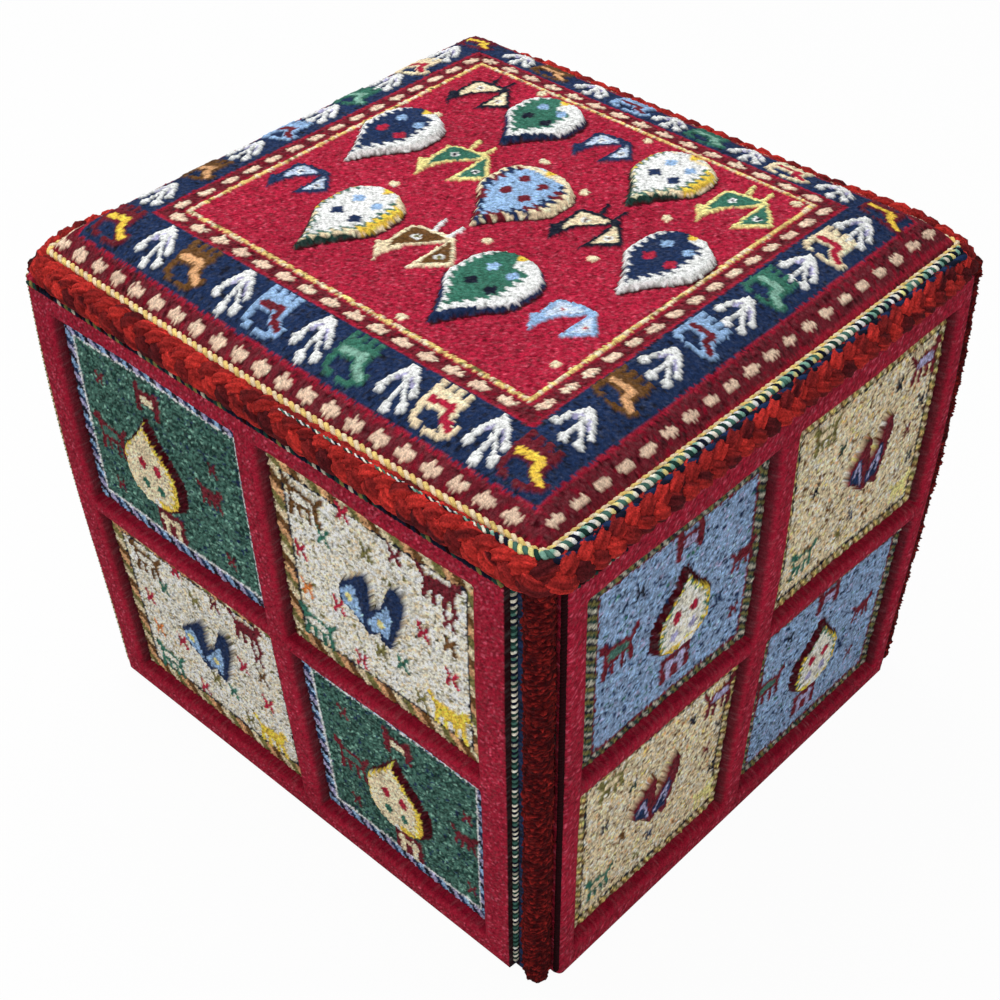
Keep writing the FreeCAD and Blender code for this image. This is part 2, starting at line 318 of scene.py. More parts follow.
@dataclass(frozen=True)
class KnottedWool:
    """Wool whose colour is the yarn stored at each knot."""

    name: str
    fibre: float = 1000.0
    swing: float = 1.5
    depth: float = 0.0009
    sheen: float = 0.01
    clump_share: float = 0.42
    nap: tuple[float, float, float] = (0.0, 0.85, -0.785)
    draw_out: tuple[float, float, float] = (2.0, 1.0, 1.0)

    def material(self) -> bpy.types.Material:
        """Make the wool: yarn colour, lighter and darker fibres, a matt fuzzy surface.

        Returns:
            The material.
        """
        recipe = Recipe(bpy.data.materials.new(self.name))
        where = recipe.place()
        yarn = recipe.node("ShaderNodeAttribute", {"attribute_name": YARN_LAYER}).outputs["Color"]
        fibre = recipe.noise(self.fibre, 3.0, where)
        clump = recipe.noise(self.fibre * self.clump_share, 2.0, recipe.comb(where, self.nap, self.draw_out))
        shade = (1.0 - 0.75 * self.swing) + self.swing * fibre + 0.5 * self.swing * clump
        return recipe.surface({
            "Base Color": recipe.dim(yarn, shade),
            "Roughness": 0.96,
            "Specular IOR Level": 0.05,
            "Sheen Weight": self.sheen,
            "Sheen Roughness": 0.6,
            "Normal": recipe.bump(fibre + 0.7 * clump, self.depth),
        })


@dataclass(frozen=True)
class Timber:
    """Sawn wood with grain along one axis."""

    name: str
    pale: tuple[float, float, float]
    dark: tuple[float, float, float]
    along: tuple[float, float, float]
    streaks: float = 60.0
    depth: float = 0.0004
    roughness: float = 0.55

    def material(self) -> bpy.types.Material:
        """Make the wood: streaked grain, a little rough.

        Returns:
            The material.
        """
        recipe = Recipe(bpy.data.materials.new(self.name))
        grain = recipe.noise(self.streaks, 5.0, recipe.stretch(recipe.place(), self.along))
        return recipe.surface({
            "Base Color": recipe.blend(grain, self.dark, self.pale),
            "Roughness": self.roughness + 0.25 * grain,
            "Normal": recipe.bump(grain, self.depth),
        })


@dataclass(frozen=True)
class Stuff:
    """Foam, felt, cloth or plastic with a fine grain."""

    name: str
    low: tuple[float, float, float]
    high: tuple[float, float, float]
    grain: float
    depth: float
    roughness: float

    def material(self) -> bpy.types.Material:
        """Make the stuff: mottled colour and a grain that lifts the surface.

        Returns:
            The material.
        """
        recipe = Recipe(bpy.data.materials.new(self.name))
        grain = recipe.noise(self.grain, 4.0, recipe.place())
        return recipe.surface({
            "Base Color": recipe.blend(grain, self.low, self.high),
            "Roughness": self.roughness + 0.1 * grain,
            "Normal": recipe.bump(grain, self.depth),
        })


def ramp(value: np.ndarray | float, start: float, run: float) -> np.ndarray:
    """0 up to a start, then rising to 1 over a run."""
    return np.clip((value - start) / run, 0, 1)


@dataclass
class Pouf:
    """Sizes that the pieces share, in millimetres."""

    width: float = 430.0
    depth: float = 400.0
    flare: float = 8.0
    rim_z: float = 354.0
    bow: float = 5.5
    sink: float = 6.5
    rear_sink: float = 2.2
    bulge: float = 3.5
    rim_inset: float = 13.0
    belt: float = 25.0
    pull: float = 5.2
    pull_down: float = 3.0
    pull_reach: float = 46.0
    head_z: float = 324.0
    head_run: float = 19.0

    def plan(self, quarter: int) -> Point:
        """Half of a side's run, and its reach from the middle, over the pile bars at the rim."""
        half = (self.width / 2, self.depth / 2)
        return half[::-1] if quarter % 2 else half

    def half_at(self, half: float, z: np.ndarray | float) -> np.ndarray | float:
        """Half a plan over the pile bars at a height."""
        swollen = self.bulge * np.sin(math.pi * np.clip(z / self.rim_z, 0, 1) ** 1.5)
        return half - self.flare * (1 - z / self.rim_z) + swollen

    def bowed(self, x: np.ndarray | float, y: np.ndarray | float) -> np.ndarray | float:
        """Rim points' y, drawn out where the stuffed front swells."""
        near = np.clip(-y / (self.depth / 2 - self.rim_inset), 0, 1.02) ** 9
        return y - self.bow * np.clip(1 - (x / (self.width / 2)) ** 2, 0, 1) * near

    def sunk(self, x: np.ndarray | float, y: np.ndarray | float) -> np.ndarray:
        """How far the plait lies below its height: along the back and the left side, clear of the nearer corners.

        Args:
            x: Places across.
            y: Places from front to back.

        Returns:
            The depths.
        """
        behind = y > self.depth / 2 - self.belt
        beside = x < self.belt - self.width / 2
        back = np.where(behind, ramp(-x, -150, 50), 0)
        left = np.where(beside, ramp(y, -165, 50), 0)
        bend = np.where(behind, ramp(-x, 110, 80), 0)
        return np.maximum(self.rear_sink * back, self.sink * np.maximum(left, bend))

    def settled(self, points: np.ndarray, z: np.ndarray) -> np.ndarray:
        """Points of a side, lowered near its head with the plait above them.

        Args:
            points: The points, already on their side.
            z: Their heights before any sag.

        Returns:
            The points.
        """
        points[..., 2] -= self.sunk(points[..., 0], points[..., 1]) * ramp(z, self.head_z, self.head_run)
        return points

    def drawn_in(self, points: np.ndarray, corner: Point) -> np.ndarray:
        """Points of the rim with the front left and the back right corner drawn in.

        Args:
            points: Points round the rim.
            corner: Half of their plan.

        Returns:
            The new points.
        """
        hand = np.sign(points[:, 0] + points[:, 1])
        gap = np.hypot(points[:, 0] - hand * corner[0], points[:, 1] - hand * corner[1])
        share = (hand * np.clip(1 - gap / self.pull_reach, 0, 1))[:, None]
        inward = share * np.array([self.pull, self.pull, 0.0])
        return points - inward - np.abs(share) * np.array([0.0, 0.0, self.pull_down])

    @staticmethod
    def turned(points: np.ndarray, quarter: int) -> np.ndarray:
        """Points of the front turned to another side.

        Args:
            points: The points.
            quarter: The side, counted from the front.

        Returns:
            The turned points.
        """
        angle = quarter * TURN / 4
        x, y = points[..., 0], points[..., 1]
        return np.stack(
            [x * math.cos(angle) - y * math.sin(angle), x * math.sin(angle) + y * math.cos(angle), points[..., 2]], -1
        )


@dataclass
class Loom:
    """Makes meshes from grids of points and dresses them."""

    wool: dict[str, bpy.types.Material]

    @staticmethod
    def idle() -> None:
        """Deselect everything, so an operator meets only the new piece."""
        bpy.ops.object.select_all(action="DESELECT")

    def weave(
        self,
        name: str,
        points: np.ndarray,
        colours: np.ndarray,
        finish: str,
        weld: float = 0.0,
    ) -> bpy.types.Object:
        """Make a grid piece with a yarn colour at every point.

        Args:
            name: The piece's name.
            points: Rows of points, in mm.
            colours: Their linear colours.
            finish: Which wool it is made of.
            weld: Distance in mm under which seam points are merged; 0 keeps them.

        Returns:
            The piece.
        """
        self.idle()
        rows, columns = points.shape[:2]
        bpy.ops.mesh.primitive_grid_add(x_subdivisions=columns - 1, y_subdivisions=rows - 1, size=2.0)
        piece = bpy.context.object
        piece.name = name
        piece.data.name = name
        flat = np.empty(len(piece.data.vertices) * 3)
        piece.data.vertices.foreach_get("co", flat)
        flat = flat.reshape(-1, 3)
        column = np.rint((flat[:, 0] + 1) / 2 * (columns - 1)).astype(int)
        row = np.rint((flat[:, 1] + 1) / 2 * (rows - 1)).astype(int)
        piece.data.vertices.foreach_set("co", (points[row, column] * MM).ravel())
        layer = piece.data.color_attributes.new(YARN_LAYER, "FLOAT_COLOR", "POINT")
        rgba = np.ones((len(flat), 4))
        rgba[:, :3] = colours[row, column]
        layer.data.foreach_set("color", rgba.ravel())
        piece.data.update()
        if weld:
            bpy.ops.object.mode_set(mode="EDIT")
            bpy.ops.mesh.select_all(action="SELECT")
            bpy.ops.mesh.remove_doubles(threshold=weld * MM)
            bpy.ops.mesh.normals_make_consistent(inside=False)
            bpy.ops.object.mode_set(mode="OBJECT")
        bpy.ops.object.shade_smooth()
        piece.data.materials.clear()
        piece.data.materials.append(self.wool[finish])
        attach(piece, "root")
        return piece

    def back(self, piece: bpy.types.Object, drop: Vector, shrink: Sequence[float] | None, rise: Vector) -> None:
        """Close a rug: its edge is drawn down, then in under it, and its back is filled.

        Args:
            piece: The rug.
            drop: How its edge is drawn, in metres.
            shrink: Scales of the back's inner outline along the axes; none leaves it out.
            rise: How that outline is lifted, in metres.
        """
        self.idle()
        piece.select_set(True)
        bpy.context.view_layer.objects.active = piece
        bpy.ops.object.mode_set(mode="EDIT")
        bpy.ops.mesh.select_all(action="SELECT")
        bpy.ops.mesh.region_to_loop()
        bpy.ops.mesh.extrude_edges_move(TRANSFORM_OT_translate={"value": drop})
        if shrink is not None:
            bpy.ops.mesh.extrude_edges_move(TRANSFORM_OT_translate={"value": rise})
            bpy.ops.transform.resize(value=shrink, center_override=(0, 0, 0))
        bpy.ops.mesh.edge_face_add()
        bpy.ops.mesh.select_all(action="SELECT")
        bpy.ops.mesh.normals_make_consistent(inside=False)
        bpy.ops.object.mode_set(mode="OBJECT")


@dataclass
class Cartoon:
    """A weaver's drawing: the yarn and the pile of every knot."""

    x: np.ndarray
    y: np.ndarray
    seed: int
    wander: float = 0.28
    waves: int = 5
    wave_run: Point = (40.0, 160.0)
    cloud: float = 0.022
    stray: float = 0.014
    chance: np.random.Generator = field(init=False)
    colour: np.ndarray = field(init=False)
    pile: np.ndarray = field(init=False)
    wx: np.ndarray = field(init=False)
    wy: np.ndarray = field(init=False)

    def __post_init__(self) -> None:
        """Start with bare knots, each a little off its place."""
        self.chance = np.random.default_rng(self.seed)
        self.colour = np.zeros(self.x.shape + (3,))
        self.pile = np.zeros(self.x.shape)
        self.wx = self.x + self.chance.normal(0, self.wander, self.x.shape)
        self.wy = self.y + self.chance.normal(0, self.wander, self.x.shape)

    def dye(self, mask: np.ndarray, yarn: Yarn, pile: float | None = None) -> None:
        """Give the knots in a mask a yarn, and a pile where one is named.

        Args:
            mask: Which knots.
            yarn: Their yarn.
            pile: How far they stand up in mm.
        """
        self.colour[mask] = yarn.linear
        if pile is not None:
            self.pile[mask] = pile

    def heather(self, mask: np.ndarray, yarns: Sequence[tuple[Yarn, float]], knot: Point = (2.0, 1.5)) -> None:
        """Mix yarns at random over a mask, a knot at a time.

        Args:
            mask: Which knots.
            yarns: Each yarn with its share.
            knot: Width and height of a knot in mm.
        """
        column = np.floor(self.x / knot[0]).astype(int)
        row = np.floor(self.y / knot[1]).astype(int)
        column -= column.min()
        row -= row.min()
        share = np.array([part for _, part in yarns])
        table = self.chance.choice(len(yarns), size=(row.max() + 1, column.max() + 1), p=share / share.sum())
        picked = table[row, column]
        for index, (yarn, _) in enumerate(yarns):
            self.colour[mask & (picked == index)] = yarn.linear

    def spot(self, centre: Point, reach: float, stretch: Point = (1.0, 1.0)) -> "Spot":
        """The patch around a motif, in the motif's own millimetres."""
        near = (np.abs(self.x - centre[0]) < reach) & (np.abs(self.y - centre[1]) < reach)
        return Spot(self, np.nonzero(near), centre, stretch)

    def weather(self, swing: float | np.ndarray) -> np.ndarray:
        """Uneven dye: knots and broad patches differ, and stray fibres catch the light.

        Args:
            swing: How much a knot's shade varies, one number or one per knot.

        Returns:
            The finished colours.
        """
        broad = np.zeros(self.x.shape)
        for _ in range(self.waves):
            angle, phase = self.chance.uniform(0, TURN, 2)
            wave = TURN / self.chance.uniform(*self.wave_run)
            broad += np.sin((self.x * math.cos(angle) + self.y * math.sin(angle)) * wave + phase)
        knots = 1.0 + swing * self.chance.standard_normal(self.x.shape)
        stray = self.stray * np.clip(self.chance.standard_normal(self.x.shape), 0, None)
        shade = knots * (1 + self.cloud * broad)
        return np.clip(self.colour * shade[..., None] + stray[..., None], 0.0, 1.0)


class Spot:
    """A patch of a cartoon in which one motif is drawn."""

    def __init__(self, cartoon: Cartoon, knots: tuple[np.ndarray, ...], centre: Point, stretch: Point) -> None:
        """Keep the knots of the patch and their places about the motif's centre.

        Args:
            cartoon: The whole drawing.
            knots: Rows and columns of the patch.
            centre: The motif's centre.
            stretch: How much larger than drawn the motif is; a negative number mirrors it.
        """
        self.cartoon = cartoon
        self.knots = knots
        self.u = (cartoon.wx[knots] - centre[0]) / stretch[0]
        self.v = (cartoon.wy[knots] - centre[1]) / stretch[1]

    def polygon(self, *corners: Point) -> np.ndarray:
        """Knots inside a polygon.

        Args:
            corners: Its corners in order.

        Returns:
            The mask.
        """
        inside = np.zeros(self.u.shape, bool)
        for (ax, ay), (bx, by) in zip(corners, corners[1:] + corners[:1]):
            if ay == by:
                continue
            crosses = (ay > self.v) != (by > self.v)
            inside ^= crosses & (self.u < ax + (bx - ax) * (self.v - ay) / (by - ay))
        return inside

    def stroke(self, width: float, *points: Point) -> np.ndarray:
        """Knots within half a width of a line.

        Args:
            width: The line's width.
            points: Its bends in order.

        Returns:
            The mask.
        """
        best = np.full(self.u.shape, 1e9)
        for (ax, ay), (bx, by) in zip(points, points[1:]):
            run = (bx - ax) ** 2 + (by - ay) ** 2
            along = np.clip(((self.u - ax) * (bx - ax) + (self.v - ay) * (by - ay)) / run, 0, 1)
            gap = np.hypot(self.u - ax - along * (bx - ax), self.v - ay - along * (by - ay))
            best = np.minimum(best, gap)
        return best < width / 2

    def disc(self, centre: Point, radius: float) -> np.ndarray:
        """Knots within a radius of a point."""
        return np.hypot(self.u - centre[0], self.v - centre[1]) < radius

    def box(self, left: float, low: float, right: float, high: float) -> np.ndarray:
        """Knots inside a rectangle."""
        return (self.u > left) & (self.u < right) & (self.v > low) & (self.v < high)

    def dye(self, mask: np.ndarray, yarn: Yarn, pile: float | np.ndarray | None = None) -> None:
        """Give the knots in a mask of the patch a yarn and a pile.

        Args:
            mask: Which knots of the patch.
            yarn: Their yarn.
            pile: Their pile, one number or one per knot.
        """
        chosen = tuple(axis[mask] for axis in self.knots)
        self.cartoon.colour[chosen] = yarn.linear
        if pile is not None:
            self.cartoon.pile[chosen] = pile if np.isscalar(pile) else pile[mask]


def ripple(phase: np.ndarray) -> np.ndarray:
    """A saw-toothed wave from 0 to 1, with a slow rise and a quick fall."""
    step = phase - np.floor(phase)
    return np.where(step < 0.7, step / 0.7, (1 - step) / 0.3)


EGG_ALONG = (0, 0.025, 0.06, 0.125, 0.19, 0.25, 0.48, 0.56, 0.625, 0.69, 0.75, 0.81, 0.875, 0.94, 1.0)
EGG_HALF = (0.1, 0.38, 0.59, 0.84, 0.95, 1.0, 1.0, 0.886, 0.72, 0.57, 0.44, 0.316, 0.21, 0.105, 0.02)


@dataclass(frozen=True)
class BotehDress:
    """Yarns and widths of one boteh figure."""

    heart: Yarn
    edge: Yarn
    edge_width: float
    upper: Yarn
    lower: Yarn
    crown: Yarn
    outline: Yarn | None = None
    outline_width: float = 0.0
    lean: float = 0.0
    lining: Yarn | None = None
    lining_width: float = 0.0
    lining_mix: Yarn | None = None
    cheek: Yarn | None = None
    skew: float = 0.32
    tip: float = 1.0
    jag_pitch: float = 6.2
    tooth_pitch: float = 6.0
    tooth: float = 5.6
    shoulder: float = 3.6
    drawn_length: float = 74.0

    def draw(self, spot: Spot, width: float, length: float, pile: float) -> None:
        """Draw the figure with its round end up and its point down.

        Args:
            spot: The patch, centred on the round end's top.
            width: Its width in mm.
            length: Its length in mm.
            pile: How far it stands up in mm.
        """
        along = -spot.v / length
        half = width / 2 * np.interp(along, EGG_ALONG, EGG_HALF, left=0, right=0)
        side = np.sign(spot.u)
        jag = ripple(along * length / self.jag_pitch + 0.35 * side)
        lower = ramp(along, 0.45, 0.3)
        inset = np.minimum(half + (0.3 + 1.0 * lower) * (jag - 0.5) - np.abs(spot.u), along * length + 0.5)
        inside = (inset > 0) & (along > 0) & (along < 1)
        rise = pile * (0.15 + 0.85 * np.sin(ramp(inset, 0, self.shoulder) * math.pi / 2))
        # lean widens the outline on one side; on the window botehs that band is partly painted shade.
        leaning = np.clip(self.lean * side, 0, 1)
        outline = self.outline_width * np.clip(np.maximum(self.tip * lower, leaning), 0, 1) + 0.9 * (jag - 0.5)
        outline = np.where((lower + leaning > 0.05) & (self.outline_width > 0), outline, 0.0)
        teeth = self.tooth * (ripple(along * length / self.tooth_pitch + 0.5 * side) - 0.5)
        broad = self.edge_width * (1 + self.skew * side) * (1 - 0.45 * lower)
        edge = outline + broad * np.clip(along / 0.12, 0.35, 1) + teeth * (along > 0.1)
        spot.dye(inside, self.edge, rise)
        if self.cheek is not None:
            spot.dye(inside & (along > 0.16) & (along < 0.57) & (inset > 1.0), self.cheek)
        if self.lining is not None:
            lined = inside & (inset > edge - self.lining_width) & (along > 0.14)
            spot.dye(lined, self.lining)
            if self.lining_mix is not None:
                spot.dye(lined & (np.sin(spot.v / 3.1 + 2 * side) > 0.1), self.lining_mix)
        spot.dye(inside & (inset > edge), self.heart)
        if self.outline is not None:
            spot.dye(inside & (inset < outline), self.outline)
        shadow = (inset <= 0) & (inset > -1.2 - 0.8 * (side > 0)) & (along > 0.1) & (along < 1)
        spot.dye(shadow, Yarn.DEEP_RED)
        for sign in (-1, 1):
            for drop, size, yarn in ((-19.0, 4.2, self.upper), (-35.5, 4.6, self.lower)):
                self._lozenge(spot, inside, (sign * 7.5, drop * length / self.drawn_length), size, yarn)
        spot.dye(inside & spot.polygon((-5, 1), (5, 1), (2.4, -5.5), (0, -8), (-2.4, -5.5)), self.crown)

    @staticmethod
    def _lozenge(spot: Spot, inside: np.ndarray, centre: Point, size: float, yarn: Yarn) -> None:
        """A small stepped lozenge on the figure.

        Args:
            spot: The figure's patch.
            inside: Which of its knots belong to the figure.
            centre: Where it is.
            size: Half its width in mm.
            yarn: Its yarn.
        """
        gap_u = np.abs(spot.u - centre[0])
        gap_v = np.abs(spot.v - centre[1])
        spot.dye(inside & ((1.15 * gap_u + 0.85 * gap_v) < size * 1.15) & (np.maximum(gap_u, gap_v) < size), yarn)


class TopBoteh(Enum):
    """The four dresses of the botehs on the top rug."""

    GREEN = BotehDress(
        Yarn.GREEN, Yarn.WHITE, 8.5, Yarn.SKY, Yarn.INK, Yarn.YELLOW, outline=Yarn.NAVY, outline_width=3.8, lean=0.35
    )
    CREAM = BotehDress(
        Yarn.WHITE, Yarn.CREAM, 7.0, Yarn.SKY, Yarn.NAVY, Yarn.YELLOW, outline=Yarn.DARK_GREEN, outline_width=2.4,
        lining=Yarn.LEAF, lining_width=2.7, cheek=Yarn.YELLOW,
    )
    NAVY = BotehDress(Yarn.NAVY, Yarn.WHITE, 8.2, Yarn.SKY, Yarn.CRIMSON, Yarn.YELLOW)
    SKY = BotehDress(
        Yarn.SKY, Yarn.CREAM, 10.5, Yarn.MAROON, Yarn.MAROON, Yarn.YELLOW, lining=Yarn.NAVY, lining_width=5.4,
        lining_mix=Yarn.MAROON, skew=0.05,
    )


@dataclass(frozen=True)
class BirdDress:
    """Yarns of one arched bird."""

    outline: Yarn
    body: Yarn
    eye: Yarn
    horn: Yarn | None
    slim: float = 1.0

    def draw(self, spot: Spot, pile: float) -> None:
        """Draw the bird: two wings under an arch, two horns and two eyes.

        Args:
            spot: The patch, centred on the bird.
            pile: How far it stands up in mm.
        """
        whole = (
            (-16.8, 12.7), (-22.6, 8.3), (-20.6, -12.5), (-25.5, -15.4), (-12.9, -31.3), (-13.4, -22.1),
            (-11.5, -16.3), (-9, -7.6), (5.5, 8.3), (6.9, -25), (10.3, -20.7), (26.2, -5.2), (21.9, 0), (7.4, 15.6),
            (-4.7, 14.6),
        )
        left = (
            (-15.5, 10.3), (-19.6, 7), (-18, -11), (-14.5, -17.5), (-13.5, -13), (-11.5, -8.5), (2.5, 7.5), (4, 12.5)
        )
        right = ((7.5, 12.5), (22.5, -4.8), (9.5, -17.5), (8, 8))
        spot.dye(spot.polygon(*whole), self.outline, pile)
        for wing, (cx, cy) in ((left, (-10.5, 2)), (right, (14.2, -4.7))):
            inner = [(cx + self.slim * (px - cx), cy + self.slim * (py - cy)) for px, py in wing]
            spot.dye(spot.polygon(*inner), self.body)
        if self.horn is not None:
            horns = spot.stroke(3.2, (-8, 13.5), (-11.5, 26.2)) | spot.stroke(3.2, (3, 14.5), (2.6, 25.7))
            spot.dye(horns, self.horn, pile)
        for centre in ((-10.5, 2), (14.2, -4.7)):
            spot.dye(spot.disc(centre, 2.9), Yarn.WHITE)
            spot.dye(spot.disc(centre, 1.7), self.eye)


class TopBird(Enum):
    """The dresses of the birds on the top rug."""

    CREAM = BirdDress(Yarn.INK, Yarn.CREAM, Yarn.BROWN, Yarn.INK, 0.9)
    NAVY = BirdDress(Yarn.NAVY, Yarn.ICE, Yarn.NAVY, None, 0.82)
    GREEN = BirdDress(Yarn.PALE_YELLOW, Yarn.GREEN, Yarn.INK, Yarn.PALE_YELLOW)
    BROWN = BirdDress(Yarn.CREAM, Yarn.BROWN, Yarn.OLIVE, Yarn.WHITE)
    SKY = BirdDress(Yarn.SKY, Yarn.ICE, Yarn.CRIMSON, None, 0.86)


def draw_hand(spot: Spot, pile: float) -> None:
    """A white plant figure: a pitched arch with three hanging buds.

    Args:
        spot: The patch, centred on the figure.
        pile: How far it stands up in mm.
    """
    roof = spot.polygon((-5.5, 14.5), (-0.5, 14), (5.5, 5.5), (0, 2.2), (-6.5, 5.5))
    arms = spot.stroke(3.4, (-3, 12), (-8, 3.5), (-9.8, -4)) | spot.stroke(3.6, (-1, 12), (5.5, 5), (9.6, -0.5))
    stems = spot.stroke(2.5, (0, 5), (0.2, -10)) | spot.stroke(2.4, (1.5, 1.5), (8.2, -7.5))
    buds = spot.disc((-10, -5.8), 3.1) | spot.disc((0.3, -12), 3.2) | spot.disc((9.2, -9), 3.1)
    spot.dye(roof | arms | stems | buds | spot.disc((9.8, -1), 2.2), Yarn.WHITE, pile)
    spot.dye(spot.stroke(1.6, (-6.5, 2), (-3, 7)) | spot.stroke(1.6, (2, 6), (6.5, 1)), Yarn.LILAC)


def draw_beast(spot: Spot, coat: Yarn, hook: Yarn, pile: float) -> None:
    """A crested animal: a comb of teeth, a hooked back, a leg and a tail.

    Args:
        spot: The patch, centred on the animal.
        coat: Its main yarn.
        hook: The yarn of its back.
        pile: How far it stands up in mm.
    """
    comb = spot.box(-14.2, 5, 9.5, 9.5)
    for tooth in range(4):
        left = -14.2 + 6.2 * tooth
        comb |= spot.box(left, 5, left + 4.2, 15.2)
    leg = spot.box(-14.5, -11, -10.2, 6) | spot.box(-11.5, -13, -5.5, -9.8)
    tail = spot.stroke(3.0, (-1, -12.5), (7, -12), (13.5, -9), (14.5, -5))
    spine = spot.stroke(8.8, (-8.5, 1.5), (4.5, 3), (4.5, -2)) | spot.stroke(7.0, (4.5, -3), (10.5, -8))
    spot.dye(comb | leg | tail | spine, coat, pile)
    spot.dye(spot.stroke(4.4, (-9.5, 1), (4.2, 2.6), (4.6, -4), (11.5, -7.5)), hook)


def draw_block(spot: Spot, turn: bool) -> None:
    """A slanted cream block of a guard border, lying along x or along y.

    Args:
        spot: The patch, centred on the block.
        turn: Whether it lies along y.
    """
    star = (
        (-6.2, -2.6), (-1.0, -3.8), (2.4, -3.0), (6.0, -0.4), (5.4, 2.8), (1.6, 2.0), (-1.6, 5.2), (-2.4, 2.2),
        (-5.6, 1.2),
    )
    corners = ((-3.6, -4.6), (0.2, -6.0), (3.4, -2.6), (3.2, 4.4), (0.4, 6.0), (-3.0, 2.4)) if turn else star
    spot.dye(spot.polygon(*corners), Yarn.BLUSH, 0.5)


def draw_cross(spot: Spot, yarn: Yarn, size: float) -> None:
    """A little crossed figure.

    Args:
        spot: The patch, centred on it.
        yarn: Its yarn.
        size: Half its height in mm.
    """
    wide, waist = size * 0.7, size * 0.2
    for sign in (-1, 1):
        arm = spot.stroke(size * 0.5, (sign * wide, -size), (sign * waist, 0), (sign * wide, size))
        spot.dye(arm, yarn, 0.7)


@dataclass(frozen=True)
class Creature:
    """A small four-legged animal of a window, placed from the window's middle."""

    place: Point
    yarn: Yarn
    inner: Yarn | None
    size: Point
    pile: float = 0.8
    reach: float = 20.0
    drift: float = 0.0

    def draw(self, cartoon: Cartoon, middle: Point, shift: float) -> None:
        """Draw the animal.

        Args:
            cartoon: The rug's drawing.
            middle: The middle it is placed from.
            shift: How far the window's large figure stands off its middle.
        """
        where = (middle[0] + self.place[0] + self.drift * shift, middle[1] + self.place[1])
        spot = cartoon.spot(where, self.reach, self.size)
        body = spot.polygon((-12, 4), (-8, 7), (6, 6), (11, 3), (10, -3), (-10, -4))
        legs = spot.stroke(3.6, (-9, -2), (-11, -11)) | spot.stroke(3.2, (-4, -2), (-4, -10))
        legs |= spot.stroke(3.2, (3, -2), (3.5, -11)) | spot.stroke(3.6, (8.5, -1), (10, -10))
        head = spot.polygon((-16, 6), (-14, 12), (-9, 11), (-7, 4)) | spot.stroke(3.2, (9, 3), (14, 9))
        spot.dye(body | legs | head, self.yarn, self.pile)
        if self.inner is not None:
            spot.dye(spot.polygon((-9, 3), (-6, 4.6), (5, 4), (8, 1.5), (7, -1.2), (-8, -1.6)), self.inner)


